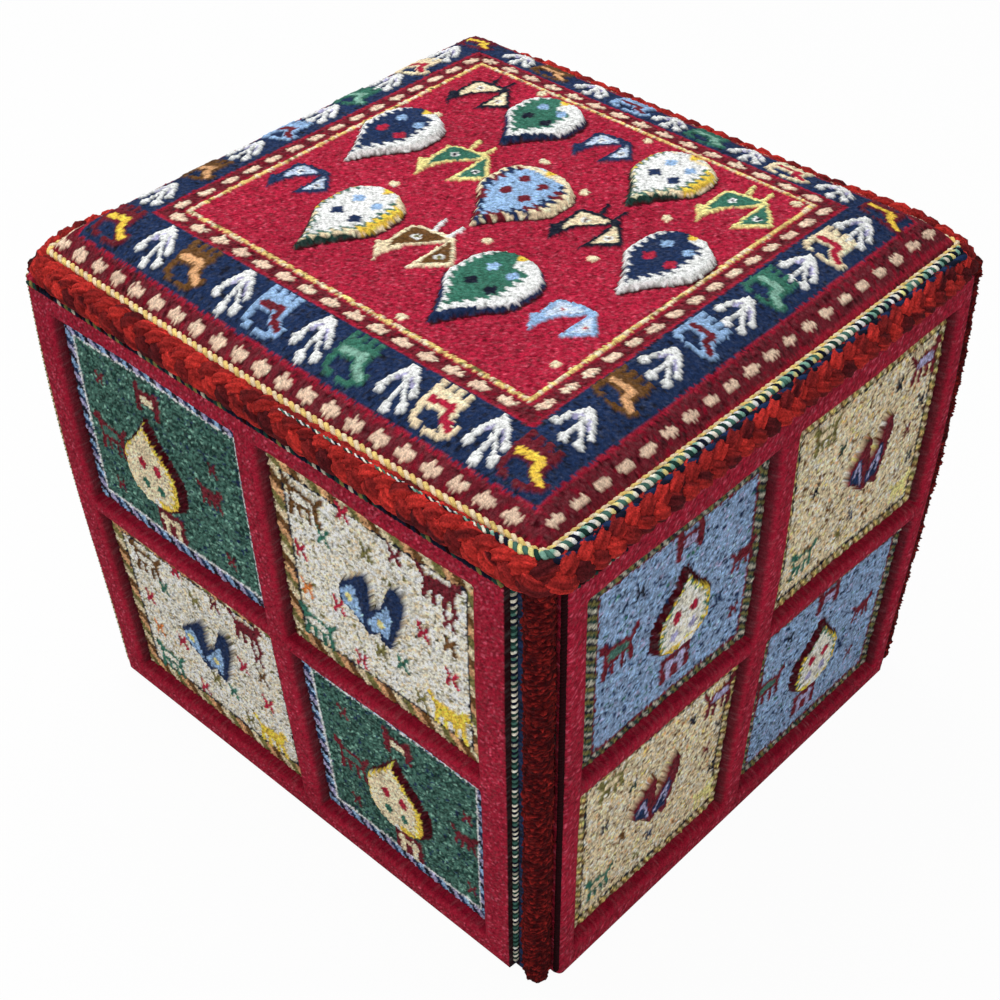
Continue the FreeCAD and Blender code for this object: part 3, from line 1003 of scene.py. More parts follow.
@dataclass
class TopRug:
    """The crowned top rug with its field, borders and raised figures."""

    pouf: Pouf
    half_x: float = 201.7
    half_y: float = 186.7
    corner: float = 6.0
    rim_z: float = 353.8
    columns: int = 328
    rows: int = 304
    swell: float = 34.0
    shoulder: float = 20.0
    far_shoulder: float = 20.4
    field_left: float = -133.0
    field_right: float = 134.2
    field_near: float = -125.0
    field_far: float = 123.5
    right_skew: float = -0.012
    boteh_pile: float = 4.4
    figure_pile: float = 1.3
    border_pile: float = 1.4
    line: float = 2.6
    stops: tuple[float, ...] = (0.0, 15.5, 48.0, 61.7)
    left_stops: tuple[float, ...] = (0.0, 18.0, 48.5, 68.7)
    right_stops: tuple[float, ...] = (0.0, 16.5, 48.5, 67.5)
    far_stops: tuple[float, ...] = (0.0, 14.5, 38.5, 63.2)

    def build(self, loom: Loom) -> bpy.types.Object:
        """Weave the rug over its crown.

        Args:
            loom: What makes the mesh.

        Returns:
            The rug.
        """
        x, y = np.meshgrid(
            np.linspace(-self.half_x, self.half_x, self.columns), np.linspace(-self.half_y, self.half_y, self.rows)
        )
        x, y = self._round_corners(x, y)
        cartoon = Cartoon(x, y, seed=Seed.TOP_RUG)
        self._borders(cartoon)
        self._field(cartoon)
        chance = np.random.default_rng(Seed.TOP_PILE)
        edge = np.clip(np.minimum(self.half_x - np.abs(x), self.half_y - np.abs(y)) / 6, 0, 1)
        height = self.rim_z + self._crown(x, y) + cartoon.pile * edge
        height += chance.normal(0, 0.22, x.shape) * edge
        points = np.stack([x, self.pouf.bowed(x, y), height], -1)
        colours = cartoon.weather(0.15 + 0.1 * np.clip(self._crown(x, y) - 22, 0, 8) / 8)
        rug = loom.weave("top_rug_pile", points, colours, "rug")
        loom.back(rug, Vector((0, 0, -0.006)), (0.7, 0.7, 1.0), Vector((0, 0, 0.018)))
        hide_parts("top_rug")
        return rug

    def _round_corners(self, x: np.ndarray, y: np.ndarray) -> tuple[np.ndarray, np.ndarray]:
        """Draw the four corners in to their radius.

        Args:
            x: Places across.
            y: Places from front to back.

        Returns:
            The new places.
        """
        over_x = np.clip(np.abs(x) - self.half_x + self.corner, 0, None)
        over_y = np.clip(np.abs(y) - self.half_y + self.corner, 0, None)
        reach = np.hypot(over_x, over_y)
        scale = np.where(reach > 0, np.maximum(over_x, over_y) / np.maximum(reach, 1e-9), 1.0)
        new_x = np.sign(x) * (np.abs(x) - over_x + over_x * scale)
        new_y = np.sign(y) * (np.abs(y) - over_y + over_y * scale)
        return new_x, new_y

    def _crown(self, x: np.ndarray, y: np.ndarray) -> np.ndarray:
        """Height of the stuffed crown above the rim.

        Args:
            x: Places across.
            y: Places from front to back.

        Returns:
            The heights.
        """
        soft = 2.0
        total = np.zeros(x.shape)
        for gap, shoulder in (
            (self.half_x - x, self.shoulder),
            (self.half_x + x, self.shoulder),
            (self.half_y + y, self.shoulder),
            (self.half_y - y, self.far_shoulder),
        ):
            total += np.exp(-self.swell * (1 - np.exp(-np.clip(gap, 0, None) / shoulder)) / soft)
        return np.clip(-soft * np.log(total), -1.5, None)

    def _outside(self, x: np.ndarray, y: np.ndarray) -> np.ndarray:
        """How far knots lie outside the field, on the near border's scale.

        Args:
            x: Places across.
            y: Places from front to back.

        Returns:
            The distances, negative in the field.
        """
        sides = (
            (self.field_left - x, self.left_stops),
            (x - self.field_right - self.right_skew * y, self.right_stops),
            (self.field_near - y, self.stops),
            (y - self.field_far, self.far_stops),
        )
        scaled = [np.where(gap < 0, gap, np.interp(gap, stops, self.stops)) for gap, stops in sides]
        return np.max(np.stack(scaled), axis=0)

    def _middles(self, out: float) -> tuple[float, float, float, float]:
        """Left, right, near and far places of a border line at a distance outside the field.

        Args:
            out: The distance, on the near border's scale.

        Returns:
            The four places.
        """
        return (
            self.field_left - float(np.interp(out, self.stops, self.left_stops)),
            self.field_right + float(np.interp(out, self.stops, self.right_stops)),
            self.field_near - out,
            self.field_far + float(np.interp(out, self.stops, self.far_stops)),
        )

    def _borders(self, cartoon: Cartoon) -> None:
        """Dye the field's ground, the yellow line, the guards and the navy band.

        Args:
            cartoon: The rug's drawing.
        """
        _, inner, navy, _ = self.stops
        outside = self._outside(cartoon.wx, cartoon.wy)
        ground = ((Yarn.MAROON, 0.76), (Yarn.DEEP_RED, 0.12), (Yarn.WINE, 0.12))
        cartoon.heather(outside > self.line, ground, (1.8, 1.8))
        cartoon.heather(outside < self.line, ((Yarn.CRIMSON, 0.76), (Yarn.ROSE, 0.07), (Yarn.WINE, 0.17)), (1.3, 1.3))
        line = (outside > 0) & (outside < self.line)
        cartoon.heather(line, ((Yarn.CREAM, 0.4), (Yarn.STRAW, 0.54), (Yarn.OLIVE, 0.06)), (2.6, 2.6))
        cartoon.pile[line] = 0.8
        for start, wide in ((self.line, 1.8), (inner - 2.0, 1.8), (navy, 1.3), (navy + 10.4, 1.6)):
            cartoon.dye((outside > start) & (outside < start + wide), Yarn.BAR_RED)
        band = (outside > inner) & (outside < navy)
        cartoon.heather(band, ((Yarn.NAVY, 0.88), (Yarn.INK, 0.12)), (1.5, 1.5))
        self._guard_blocks(cartoon)
        self._band_figures(cartoon)

    def _guard_blocks(self, cartoon: Cartoon) -> None:
        """Set the slanted cream blocks along both guards.

        Args:
            cartoon: The rug's drawing.
        """
        for out, first, pitch, thin in ((8.9, -133.75, 18.75, 0.95), (54.4, -190.0, 18.3, 0.7)):
            left, right, near, far = self._middles(out)
            for along in np.arange(first, right + 1, pitch):
                draw_block(cartoon.spot((along, near), 9, (1.0, thin)), False)
                draw_block(cartoon.spot((along, far), 9, (1.0, thin * 0.9)), False)
            for along in np.arange(far - 8, near + 8, -17.6):
                draw_block(cartoon.spot((right + self.right_skew * along, along), 9, (thin - 0.15, 1.0)), True)
                draw_block(cartoon.spot((left, along), 9, (thin - 0.15, 1.0)), True)

    def _band_figures(self, cartoon: Cartoon) -> None:
        """Set the hands, the animals and the corner animals in the navy band.

        Args:
            cartoon: The rug's drawing.
        """
        coats = ((Yarn.BROWN, Yarn.TAN), (Yarn.SKY, Yarn.MAROON), (Yarn.GREEN, Yarn.MINT), (Yarn.CREAM, Yarn.CRIMSON))
        left, right, near, far = self._middles((self.stops[1] + self.stops[2]) / 2)
        rows = (
            (near, 1.0, (-123.75, -55, 11.25, 76.25, 140), (-92.5, -23.75, 41.25, 106.25)),
            (far, 0.74, (-122, -57.5, 7.5, 68.75, 133.75), (-92.5, -23.75, 37.5, 100)),
        )
        for row, squeeze, hands, beasts in rows:
            for along in hands:
                draw_hand(cartoon.spot((along, row), 20, (1.0, squeeze)), self.border_pile)
            for along, (coat, hook) in zip(beasts, coats):
                draw_beast(cartoon.spot((along, row), 22, (1.0, squeeze)), coat, hook, self.border_pile)
        for column in (left, right):
            for along in (122.5, 67.5, 10, -53.75, -122.5):
                draw_hand(cartoon.spot((column, along), 20, (0.92, 1.0)), self.border_pile)
            for along, (coat, hook) in zip((-86, -20, 41, 97.5), coats):
                draw_beast(cartoon.spot((column - 1.0, along), 22, (0.9, 1.0)), coat, hook, self.border_pile)
            for row, squeeze in ((near, 1.0), (far, 0.74)):
                across = column + (0.5 if column > 0 else 5.0)
                draw_beast(
                    cartoon.spot((across, row), 22, (1.0, squeeze)), Yarn.MAROON, Yarn.YELLOW, self.border_pile
                )

    def _field(self, cartoon: Cartoon) -> None:
        """Set the botehs, birds and dots of the red field.

        Args:
            cartoon: The rug's drawing.
        """
        botehs = (
            (TopBoteh.GREEN, -51, 118, 50, 66), (TopBoteh.CREAM, 53, 118.75, 49, 70),
            (TopBoteh.NAVY, -108, 50.5, 48, 75.5), (TopBoteh.SKY, 0.5, 46, 57, 73.5),
            (TopBoteh.NAVY, 108.5, 47, 47.5, 72),
            (TopBoteh.CREAM, -57, -34, 48, 79), (TopBoteh.GREEN, 51.5, -34, 53, 80),
        )
        birds = (
            (TopBird.CREAM, -101, 95, 0.88), (TopBird.NAVY, 2.25, 96, 0.8), (TopBird.GREEN, 107, 92.5, 0.94),
            (TopBird.GREEN, -51.75, 21.7, 0.96), (TopBird.CREAM, 56.8, 18.5, 0.92),
            (TopBird.NAVY, -109, -54.5, 0.8), (TopBird.BROWN, -2.5, -60, 1.0), (TopBird.SKY, 106.4, -58, 0.8),
        )
        dots = (
            (-76.75, 119.5), (14.5, 117.5), (125.75, 118.5), (-15.75, 55.5), (80, 54.25), (25.75, 44.5),
            (-106.25, 53.75), (76.25, -6.75), (-65.75, -24.25), (19.5, -33), (127, -95), (37, -118.5),
        )
        for dress, across, along, size in birds:
            dress.value.draw(cartoon.spot((across, along), 36, (size, size)), self.figure_pile)
        for dress, across, top, width, length in botehs:
            dress.value.draw(cartoon.spot((across, top), length + 6), width, length, self.boteh_pile)
        for place in dots:
            spot = cartoon.spot(place, 5)
            spot.dye(spot.disc((0, 0), 3.1), Yarn.CREAM, 1.0)


@dataclass(frozen=True)
class WindowBoteh:
    """A raised boteh with its point up, on a bracket and with a little figure above it."""

    dress: BotehDress
    place: Point
    reach: float
    width: float
    length: float
    bracket: Point
    head: Point
    pale: Yarn

    def draw(self, cartoon: Cartoon, middle: Point, pile: float) -> None:
        """Draw the bracket, the little figure and the boteh.

        Args:
            cartoon: The rug's drawing.
            middle: The middle they are placed from.
            pile: How far the boteh stands up in mm.
        """
        u, z = middle
        below = cartoon.spot((u + self.bracket[0], z + self.bracket[1]), 18)
        below.dye(below.box(-13, -10, 13, 11), Yarn.MAROON, 0.8)
        below.dye(below.box(-8, -11, -3.5, 7) | below.box(3.5, -11, 8, 7) | below.box(-10, 1, 10, 5), self.pale)
        above = cartoon.spot((u + self.head[0], z + self.head[1]), 18)
        figure = above.box(-12, -4, 12, 6) | above.box(-12, -11, -7, 11) | above.box(6, -11, 11, 9)
        above.dye(figure, Yarn.MAROON, 0.8)
        above.dye(above.box(-6, -3, 6, 2.5), self.pale)
        spot = cartoon.spot((u + self.place[0], z + self.place[1]), self.reach, (1.0, -1.0))
        self.dress.draw(spot, self.width, self.length, pile)


@dataclass(frozen=True)
class VeeBird:
    """A raised bird of two wings that meet at the foot, with streaks or round spots on them."""

    place: Point
    size: Point
    dark: Yarn
    pale: Yarn
    spark: Yarn
    streaked: bool

    def draw(self, cartoon: Cartoon, middle: Point, pile: float) -> None:
        """Draw the bird.

        Args:
            cartoon: The rug's drawing.
            middle: The middle it is placed from.
            pile: How far it stands up in mm.
        """
        spot = cartoon.spot((middle[0] + self.place[0], middle[1] + self.place[1]), 34, self.size)
        body = (
            (-23.5, 5), (-12, 15.5), (-1.6, 24), (2, 21), (2, 6), (2.3, -0.4), (10.6, 7.5), (15, 18), (19.7, 28.6),
            (25.5, 30), (29.4, 23), (28.6, 12), (22.8, -6), (16.6, -22), (10.7, -21), (7.7, -15), (-0.3, -22),
            (-5, -18), (-12.5, -11.5), (-22.4, -7),
        )
        left = ((-22, 1.5), (-12, 11), (-9, 9), (-6.5, -2), (-4, -15.5), (-12, -10), (-20.5, -6))
        right = ((-1.4, -10), (8, 1), (17, 12), (20, 4), (15, -15), (9.5, -13), (3, -16))
        spot.dye(spot.polygon(*body), self.dark, pile)
        for wing in (left, right):
            spot.dye(spot.polygon(*wing), self.pale)
        if self.streaked:
            for streak in (((-18, -2), (-12, 7), (-9, -3), (-6, -12)), ((3, -12), (8, -3), (16, 7), (14, -8))):
                spot.dye(spot.stroke(2.6, *streak), self.spark)
        else:
            for place in ((-14.8, -0.4), (10.1, -5.4)):
                spot.dye(spot.disc(place, 3.2), self.spark)


@dataclass(frozen=True)
class PanelDress:
    """Ground and border yarns of one kind of window, and the figures in it."""

    ground: tuple[tuple[Yarn, float], ...]
    border: tuple[Yarn, ...]
    line: Yarn
    block: float
    widths: tuple[float, float, float, float]
    creatures: tuple[Creature, ...]
    crosses: tuple[tuple[float, float, Yarn], ...]
    cross_size: float
    figure: WindowBoteh | VeeBird
    cross_reach: float = 9.0

    def draw(self, cartoon: Cartoon, middle: Point, shift: float, pile: float) -> None:
        """Draw the window's figures; the small ones keep with a boteh, but not with a bird.

        Args:
            cartoon: The rug's drawing.
            middle: The window's middle.
            shift: How far the large figure stands off the middle.
            pile: How far the large figure stands up in mm.
        """
        moved = (middle[0] + shift, middle[1])
        u, z = moved if isinstance(self.figure, WindowBoteh) else middle
        for creature in self.creatures:
            creature.draw(cartoon, (u, z), shift)
        for across, up, yarn in self.crosses:
            draw_cross(cartoon.spot((u + across, z + up), self.cross_reach), yarn, self.cross_size)
        self.figure.draw(cartoon, moved, pile)


# The DEEP_RED outline, leaned to one side, is partly the botehs' maroon edging and partly painted shade on their raised
# wall away from the light: the right side on the front, the left side on the right.
FRONT_BOTEH = BotehDress(
    Yarn.CREAM, Yarn.YELLOW, 4.0, Yarn.GREEN, Yarn.CRIMSON, Yarn.WHITE, outline=Yarn.DEEP_RED, outline_width=3.8,
    lean=1.0, tip=0.4,
)
RIGHT_BOTEH = BotehDress(
    Yarn.IVORY, Yarn.YELLOW, 5.0, Yarn.LILAC, Yarn.CRIMSON, Yarn.WHITE, outline=Yarn.DEEP_RED, outline_width=3.4,
    lean=-1.0, lining=Yarn.GREEN, lining_width=2.2, tip=0.8,
)


class Panel(Enum):
    """The four kinds of sunken window."""

    GREEN = PanelDress(
        ((Yarn.LEAF, 0.58), (Yarn.DARK_GREEN, 0.30), (Yarn.MINT, 0.07), (Yarn.NAVY, 0.05)),
        (Yarn.NAVY, Yarn.SKY, Yarn.INK, Yarn.LILAC), Yarn.WHITE, 5.4, (7.0, 7.5, 7.0, 10.5),
        (
            Creature((-43, -7), Yarn.MAROON, Yarn.LEAF, (1.1, 1.2), 0.5),
            Creature((60, -1), Yarn.MAROON, None, (-0.8, 0.8), 0.5, 18.0, 0.4),
        ),
        ((62, 23, Yarn.MAROON), (64, -49, Yarn.MAROON), (-46, -48, Yarn.MAROON), (-44, 38, Yarn.MAROON)), 4.5,
        WindowBoteh(FRONT_BOTEH, (-0.5, -40.0), 78.0, 56.0, 69.0, (5, -53), (5, 44), Yarn.CREAM),
    )
    IVORY = PanelDress(
        ((Yarn.IVORY, 0.62), (Yarn.WHITE, 0.18), (Yarn.BEIGE, 0.16), (Yarn.OLIVE, 0.04)),
        (Yarn.BROWN, Yarn.BEIGE, Yarn.OLIVE, Yarn.TAN), Yarn.INK, 7.6, (9.5, 9.5, 7.5, 12.0),
        (
            Creature((-52, 45), Yarn.BROWN, Yarn.IVORY, (1.08, 1.08)),
            Creature((50, 48), Yarn.MAROON, None, (-1.08, 1.08)),
            Creature((-54, -50), Yarn.GREEN, Yarn.IVORY, (1.08, 1.08)),
            Creature((53, -49), Yarn.YELLOW, None, (-1.08, 1.08)),
        ),
        (
            (-20, 58, Yarn.CRIMSON), (18, 52, Yarn.MAROON), (-4, 40, Yarn.OLIVE), (-39, 29, Yarn.GREEN),
            (-61, 7, Yarn.CRIMSON), (-60, -22, Yarn.ORANGE), (-33, -18, Yarn.CRIMSON), (37, 7, Yarn.CRIMSON),
            (57, 29, Yarn.MAROON), (57, 11, Yarn.BROWN), (57, -15, Yarn.CRIMSON), (18, -32, Yarn.GREEN),
            (-18, -53, Yarn.CRIMSON), (31, -51, Yarn.OLIVE), (0, -33, Yarn.OLIVE),
        ), 5.4,
        VeeBird((0, 0), (1.0, 1.0), Yarn.NAVY, Yarn.SKY, Yarn.PALE_YELLOW, False),
    )
    BLUE = PanelDress(
        ((Yarn.BLUE, 0.6), (Yarn.SKY, 0.23), (Yarn.NAVY, 0.11), (Yarn.LILAC, 0.04), (Yarn.GREEN, 0.02)),
        (Yarn.DARK_GREEN, Yarn.OLIVE, Yarn.INK, Yarn.FLAX), Yarn.MAROON, 2.7, (13.0, 6.5, 7.0, 11.5),
        (
            Creature((-53, 6), Yarn.MAROON, Yarn.LEAF, (1.1, 1.2), 0.5),
            Creature((54, 4), Yarn.MAROON, None, (-0.8, 0.8), 0.5, 18.0),
        ),
        ((52, -38, Yarn.MAROON), (35, -17, Yarn.NAVY), (-38, 40, Yarn.INK)), 4.5,
        WindowBoteh(RIGHT_BOTEH, (0.0, -30.0), 76.0, 49.0, 63.0, (-1, -44), (2, 51), Yarn.LILAC),
    )
    BEIGE = PanelDress(
        ((Yarn.BEIGE, 0.66), (Yarn.IVORY, 0.17), (Yarn.BROWN, 0.08), (Yarn.STRAW, 0.05), (Yarn.TAN, 0.04)),
        (Yarn.STRAW, Yarn.OLIVE, Yarn.BEIGE, Yarn.BROWN), Yarn.INK, 2.9, (10.5, 6.5, 6.0, 11.5),
        (
            Creature((61, 44), Yarn.MAROON, Yarn.LILAC, (-1.1, 1.1), 0.8, 18.0),
            Creature((-48, -45), Yarn.GREEN, Yarn.BEIGE, (0.9, 0.9), 0.8, 18.0),
            Creature((-42, 47), Yarn.OLIVE, Yarn.BEIGE, (0.9, 0.9), 0.5, 18.0),
            Creature((62, -51), Yarn.PALE_YELLOW, None, (-0.8, 0.8), 0.5, 18.0),
        ),
        (
            (35, 41, Yarn.INK), (-21, 26, Yarn.DARK_GREEN), (-46, 8, Yarn.INK), (-27, -18, Yarn.BROWN),
            (56, -2, Yarn.MAROON), (3, -40, Yarn.NAVY), (-9, -50, Yarn.OLIVE), (66, -27, Yarn.INK),
            (66, 14, Yarn.INK),
        ), 3.8,
        VeeBird((-2, -1), (0.84, 0.92), Yarn.MAROON, Yarn.NAVY, Yarn.LILAC, True), 8.0,
    )


@dataclass(frozen=True)
class Lattice:
    """Where one side's bars run, in mm: rooms at its ends, window edges and how the lines stray."""

    left_room: float
    bar_end: float
    roll_room: float
    columns: tuple[float, float, float, float]
    lean: float = 0.0
    droop: float = 0.0
    shifts: tuple[float, float, float, float] = (0.0, 0.0, 0.0, 0.0)
    # Width of the gap at the bars' right end that is dyed SHADE as painted shade.
    gully: float = 3.4


LATTICES = {
    "front": Lattice(7.0, 27.2, 18.5, (-187.0, -14.0, 5.0, 164.0), -6.0, 0.0, (-12.0, -4.0, 0.0, -1.0)),
    "right": Lattice(16.4, 18.0, 12.4, (-167.0, -10.5, 7.5, 171.0), 4.5, 8.0, (8.0, 8.0, 0.0, -3.0)),
    "back": Lattice(21.5, 26.0, 18.5, (-172.0, -10.0, 8.0, 168.0)),
    "left": Lattice(18.5, 28.0, 21.0, (-161.0, -10.0, 8.0, 151.0)),
}


@dataclass
class SideRug:
    """One side rug: a lattice of long red pile around four sunken windows."""

    side: str
    quarter: int
    panels: tuple[Panel, Panel, Panel, Panel]
    pouf: Pouf
    ground_depth: float = 8.4
    lip: float = 3.6
    back_depth: float = 8.0
    bar_round: float = 4.2
    low_z: float = 4.2
    high_z: float = 343.0
    rows: tuple[float, ...] = (18.0, 164.0, 175.5, 322.5)
    knot: float = 1.32
    figure_pile: float = 3.6
    strip_depth: float = 5.0
    foot_z: float = 12.0
    middle_z: float = 170.0
    lean_run: float = 160.0
    lean_reach: float = 190.0
    sway: float = 0.8
    wall: float = 0.25
    shore: float = 0.5
    calm: float = 3.6
    edge: float = 1.5
    line: float = 1.5

    def _lines(self, stops: Sequence[float]) -> np.ndarray:
        """Grid lines between stops, with the walls of the windows kept steep.

        Args:
            stops: Edges of the rug and of its windows, in mm.

        Returns:
            The lines' places.
        """
        lines: list[float] = []
        for index, (low, high) in enumerate(zip(stops, stops[1:])):
            start = low + (self.wall if index else 0.0)
            end = high - (self.wall if index < len(stops) - 2 else 0.0)
            count = max(3, round((end - start) / self.knot))
            lines.extend(np.linspace(start, end, count + 1))
        return np.array(lines)

    def build(self, loom: Loom) -> bpy.types.Object:
        """Weave the rug and set it on its side of the pouf.

        Args:
            loom: What makes the mesh.

        Returns:
            The rug.
        """
        lattice = LATTICES[self.side]
        run, _ = self.pouf.plan(self.quarter)
        strip = run - lattice.bar_end
        columns = self._lines((lattice.left_room - run, *lattice.columns, strip, run - lattice.roll_room))
        rows = self._lines((self.low_z, *self.rows, self.high_z))
        u, z = np.meshgrid(columns, rows)
        cartoon = Cartoon(u, z, seed=Seed.SIDE_RUG + self.quarter)
        gap = self._bar_gap(u, z, lattice.columns)
        on_strip = u > strip
        depth = self._depth(gap, on_strip, u + run - lattice.left_room)
        self._ground(cartoon, gap, u - strip, lattice.gully)
        self._dress_windows(cartoon, lattice)
        depth = depth - np.where(gap < -0.3, cartoon.pile, 0.0)
        chance = np.random.default_rng(Seed.SIDE_PILE + self.quarter)
        inland = np.minimum(np.minimum(u - u.min(), u.max() - u), np.minimum(z - z.min(), z.max() - z))
        rough = np.where(gap > 0, 0.13, 0.32) * ramp(inland, 0, 6)
        depth += chance.normal(0, 1, depth.shape) * rough
        points = self._place(u, z, depth, lattice)
        colours = cartoon.weather(np.select([gap > self.calm, gap > 0.6, gap > -0.6], [0.2, 0.06, 0.03], 0.36))
        rug = loom.weave(f"side_rug_{self.side}_pile", points, colours, "rug")
        turn = Matrix.Rotation(self.quarter * TURN / 4, 3, "Z")
        taper = (1.0, 0.93, 1.0) if self.quarter % 2 else (0.93, 1.0, 1.0)
        loom.back(rug, turn @ Vector((0, self.lip * MM, 0)), taper, turn @ Vector((0, self.back_depth * MM, 0)))
        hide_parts(f"side_rug_{self.side}")
        return rug

    def _bar_gap(self, u: np.ndarray, z: np.ndarray, windows: Sequence[float]) -> np.ndarray:
        """Distance of each knot from the nearest window's edge, negative inside a window.

        Args:
            u: Places along the side.
            z: Heights.
            windows: The windows' left and right edges.

        Returns:
            The distances.
        """
        gap = np.full(u.shape, 1e9)
        for left, right in (windows[:2], windows[2:]):
            for low, high in (self.rows[:2], self.rows[2:]):
                out_u = np.maximum(left - u, u - right)
                out_z = np.maximum(low - z, z - high)
                outside = np.hypot(np.clip(out_u, 0, None), np.clip(out_z, 0, None))
                signed = np.where((out_u < 0) & (out_z < 0), np.maximum(out_u, out_z), outside)
                gap = np.minimum(gap, signed)
        return gap

    def _depth(self, gap: np.ndarray, on_strip: np.ndarray, from_end: np.ndarray) -> np.ndarray:
        """Depth of the pile's face behind the bars' outer plane.

        Args:
            gap: Distances from the windows' edges.
            on_strip: Which knots are on the selvedge strip.
            from_end: Distances from the rug's left end.

        Returns:
            The depths.
        """
        short = np.clip(self.bar_round - np.maximum(np.minimum(gap, from_end) - 0.2, 0), 0, None)
        rounded = self.bar_round - np.sqrt(np.clip(self.bar_round**2 - short**2, 0, None))
        depth = np.where(gap > 0, rounded, self.ground_depth)
        return np.where(on_strip, self.strip_depth, depth)

    def _place(self, u: np.ndarray, z: np.ndarray, depth: np.ndarray, lattice: Lattice) -> np.ndarray:
        """Points on the leaning side, turned to the rug's own side.

        Args:
            u: Places along the side.
            z: Heights.
            depth: Depths behind the bars' outer plane.
            lattice: How the lines stray.

        Returns:
            The points.
        """
        run, reach = self.pouf.plan(self.quarter)
        rise = (z - self.middle_z) / self.lean_run
        sway = self.sway * np.sin(z / 31 + 0.7 * self.quarter) * np.sin(u / 37 + 1)
        sway += lattice.lean * rise * np.clip(1 - np.abs(u) / self.lean_reach, 0, 1)
        sag = self.sway * np.sin(u / 23 + 1.3 * self.quarter) * np.sin(z / 41)
        sag -= lattice.droop * u / run * np.interp(z, (6, 20, 170, 322, 340), (0, 0.6, 1, 0, 0))
        x = (u + sway) * self.pouf.half_at(run, z) / run
        y = depth - self.pouf.half_at(reach, z)
        points = self.pouf.turned(np.stack([x, y, z + sag * (z > self.foot_z)], -1), self.quarter)
        return self.pouf.settled(points, z)

    def _ground(self, cartoon: Cartoon, gap: np.ndarray, past: np.ndarray, gully: float) -> None:
        """Dye the bars, the windows' walls in painted shade and painted light, and the selvedge strip with painted
        shade in the gap before it.

        Args:
            cartoon: The rug's drawing.
            gap: Distances from the windows' edges.
            past: Distances past the start of the strip.
            gully: Width of the gap before the strip that is painted in shade.
        """
        cartoon.heather(gap > 0, ((Yarn.BAR_RED, 0.72), (Yarn.ROSE, 0.08), (Yarn.WINE, 0.2)), (1.4, 1.4))
        cartoon.dye((gap > 0) & (gap < self.calm), Yarn.BAR_RED)
        # A thin maroon line along the bars' edges: painted shade where the bars round down into the windows.
        cartoon.dye((gap > 0) & (gap < self.shore), Yarn.MAROON)
        # All window knots start DEEP_RED; what the windows' dressing leaves of it, the steep walls and the narrow band
        # at their foot, is painted shade in the recesses.
        cartoon.dye(gap <= 0, Yarn.DEEP_RED)
        # The up-facing walls at the windows' bottoms get the lighter WINE: painted light from above.
        for low in (self.rows[0], self.rows[2]):
            cartoon.dye((gap < self.shore) & (np.abs(cartoon.y - low) < 0.6), Yarn.WINE)
        cartoon.heather(past > 0, ((Yarn.NAVY, 0.6), (Yarn.INK, 0.4)))
        # SHADE here is painted shade in the gap between the bars' right end and the selvedge strip.
        cartoon.dye((past > -1.2) & (past < gully), Yarn.SHADE)

    def _dress_windows(self, cartoon: Cartoon, lattice: Lattice) -> None:
        """Dress the windows from the top left to the bottom right.

        Args:
            cartoon: The rug's drawing.
            lattice: The windows' edges and the shifts of their figures.
        """
        for index, panel in enumerate(self.panels):
            column, row = 2 * (index % 2), 2 * (index < 2)
            left, right = lattice.columns[column] + self.edge, lattice.columns[column + 1] - self.edge
            low, high = self.rows[row] + self.edge, self.rows[row + 1] - self.edge
            self._window(cartoon, panel, (left, low, right, high), lattice.shifts[index])

    def _window(self, cartoon: Cartoon, panel: Panel, frame: tuple[float, ...], shift: float) -> None:
        """Dress one window: border, ground and figures.

        Args:
            cartoon: The rug's drawing.
            panel: The kind of window.
            frame: Its left, low, right and high edges.
            shift: How far its figures stand off its middle.
        """
        left, low, right, high = frame
        dress = panel.value
        inset = (cartoon.wx - left, cartoon.wy - low, right - cartoon.wx, high - cartoon.wy)
        inside = np.min(np.stack(inset), axis=0) > 0
        depth = np.stack([gap - width for gap, width in zip(inset, dress.widths)])
        nearest = np.argmin(depth, axis=0)
        past = np.min(depth, axis=0)
        cartoon.heather(inside, dress.ground)
        upright = (nearest == 0) | (nearest == 2)
        along = np.where(upright, cartoon.wy + 0.7 * cartoon.wx, cartoon.wx + 0.7 * cartoon.wy)
        block = np.floor(along / dress.block).astype(int) % len(dress.border)
        for index, yarn in enumerate(dress.border):
            cartoon.dye(inside & (past < 0) & (block == index), yarn, 0.6)
        cartoon.dye(inside & (past > 0) & (past < self.line), dress.line, 0.3)
        centre = ((left + right) / 2, (low + high) / 2)
        kept = cartoon.colour[~inside], cartoon.pile[~inside]
        dress.draw(cartoon, centre, shift, self.figure_pile)
        cartoon.colour[~inside], cartoon.pile[~inside] = kept


@dataclass
class Route:
    """A line that a cord follows, with frames along it."""

    points: np.ndarray
    closed: bool

    def steps(self, step: float) -> tuple[np.ndarray, np.ndarray, float]:
        """Even steps along the line.

        Args:
            step: About how far apart, in mm.

        Returns:
            The points, the distances along the line and its length.
        """
        points = np.vstack([self.points, self.points[:1]]) if self.closed else self.points
        run = np.concatenate([[0], np.cumsum(np.linalg.norm(np.diff(points, axis=0), axis=1))])
        count = max(8, int(run[-1] / step))
        along = np.linspace(0, run[-1], count + 1)
        return np.stack([np.interp(along, run, points[:, axis]) for axis in range(3)], 1), along, run[-1]

    @staticmethod
    def loop(half: Point, corner: float, z: float) -> "Route":
        """A rounded rectangle lying flat, from the middle of the right side.

        Args:
            half: Half of its plan.
            corner: Its corners' radius.
            z: Its height.

        Returns:
            The route.
        """
        x, y = half[0] - corner, half[1] - corner
        points = [(half[0], 0.0, z)]
        for index, (side, end) in enumerate(((x, y), (-x, y), (-x, -y), (x, -y))):
            if index == 3:
                points += [(step, -half[1], z) for step in np.linspace(-x, x, 25)[1:-1]]
            for angle in np.linspace(index * TURN / 4, (index + 1) * TURN / 4, 13):
                points.append((side + corner * math.cos(angle), end + corner * math.sin(angle), z))
        return Route(np.array(points), True)


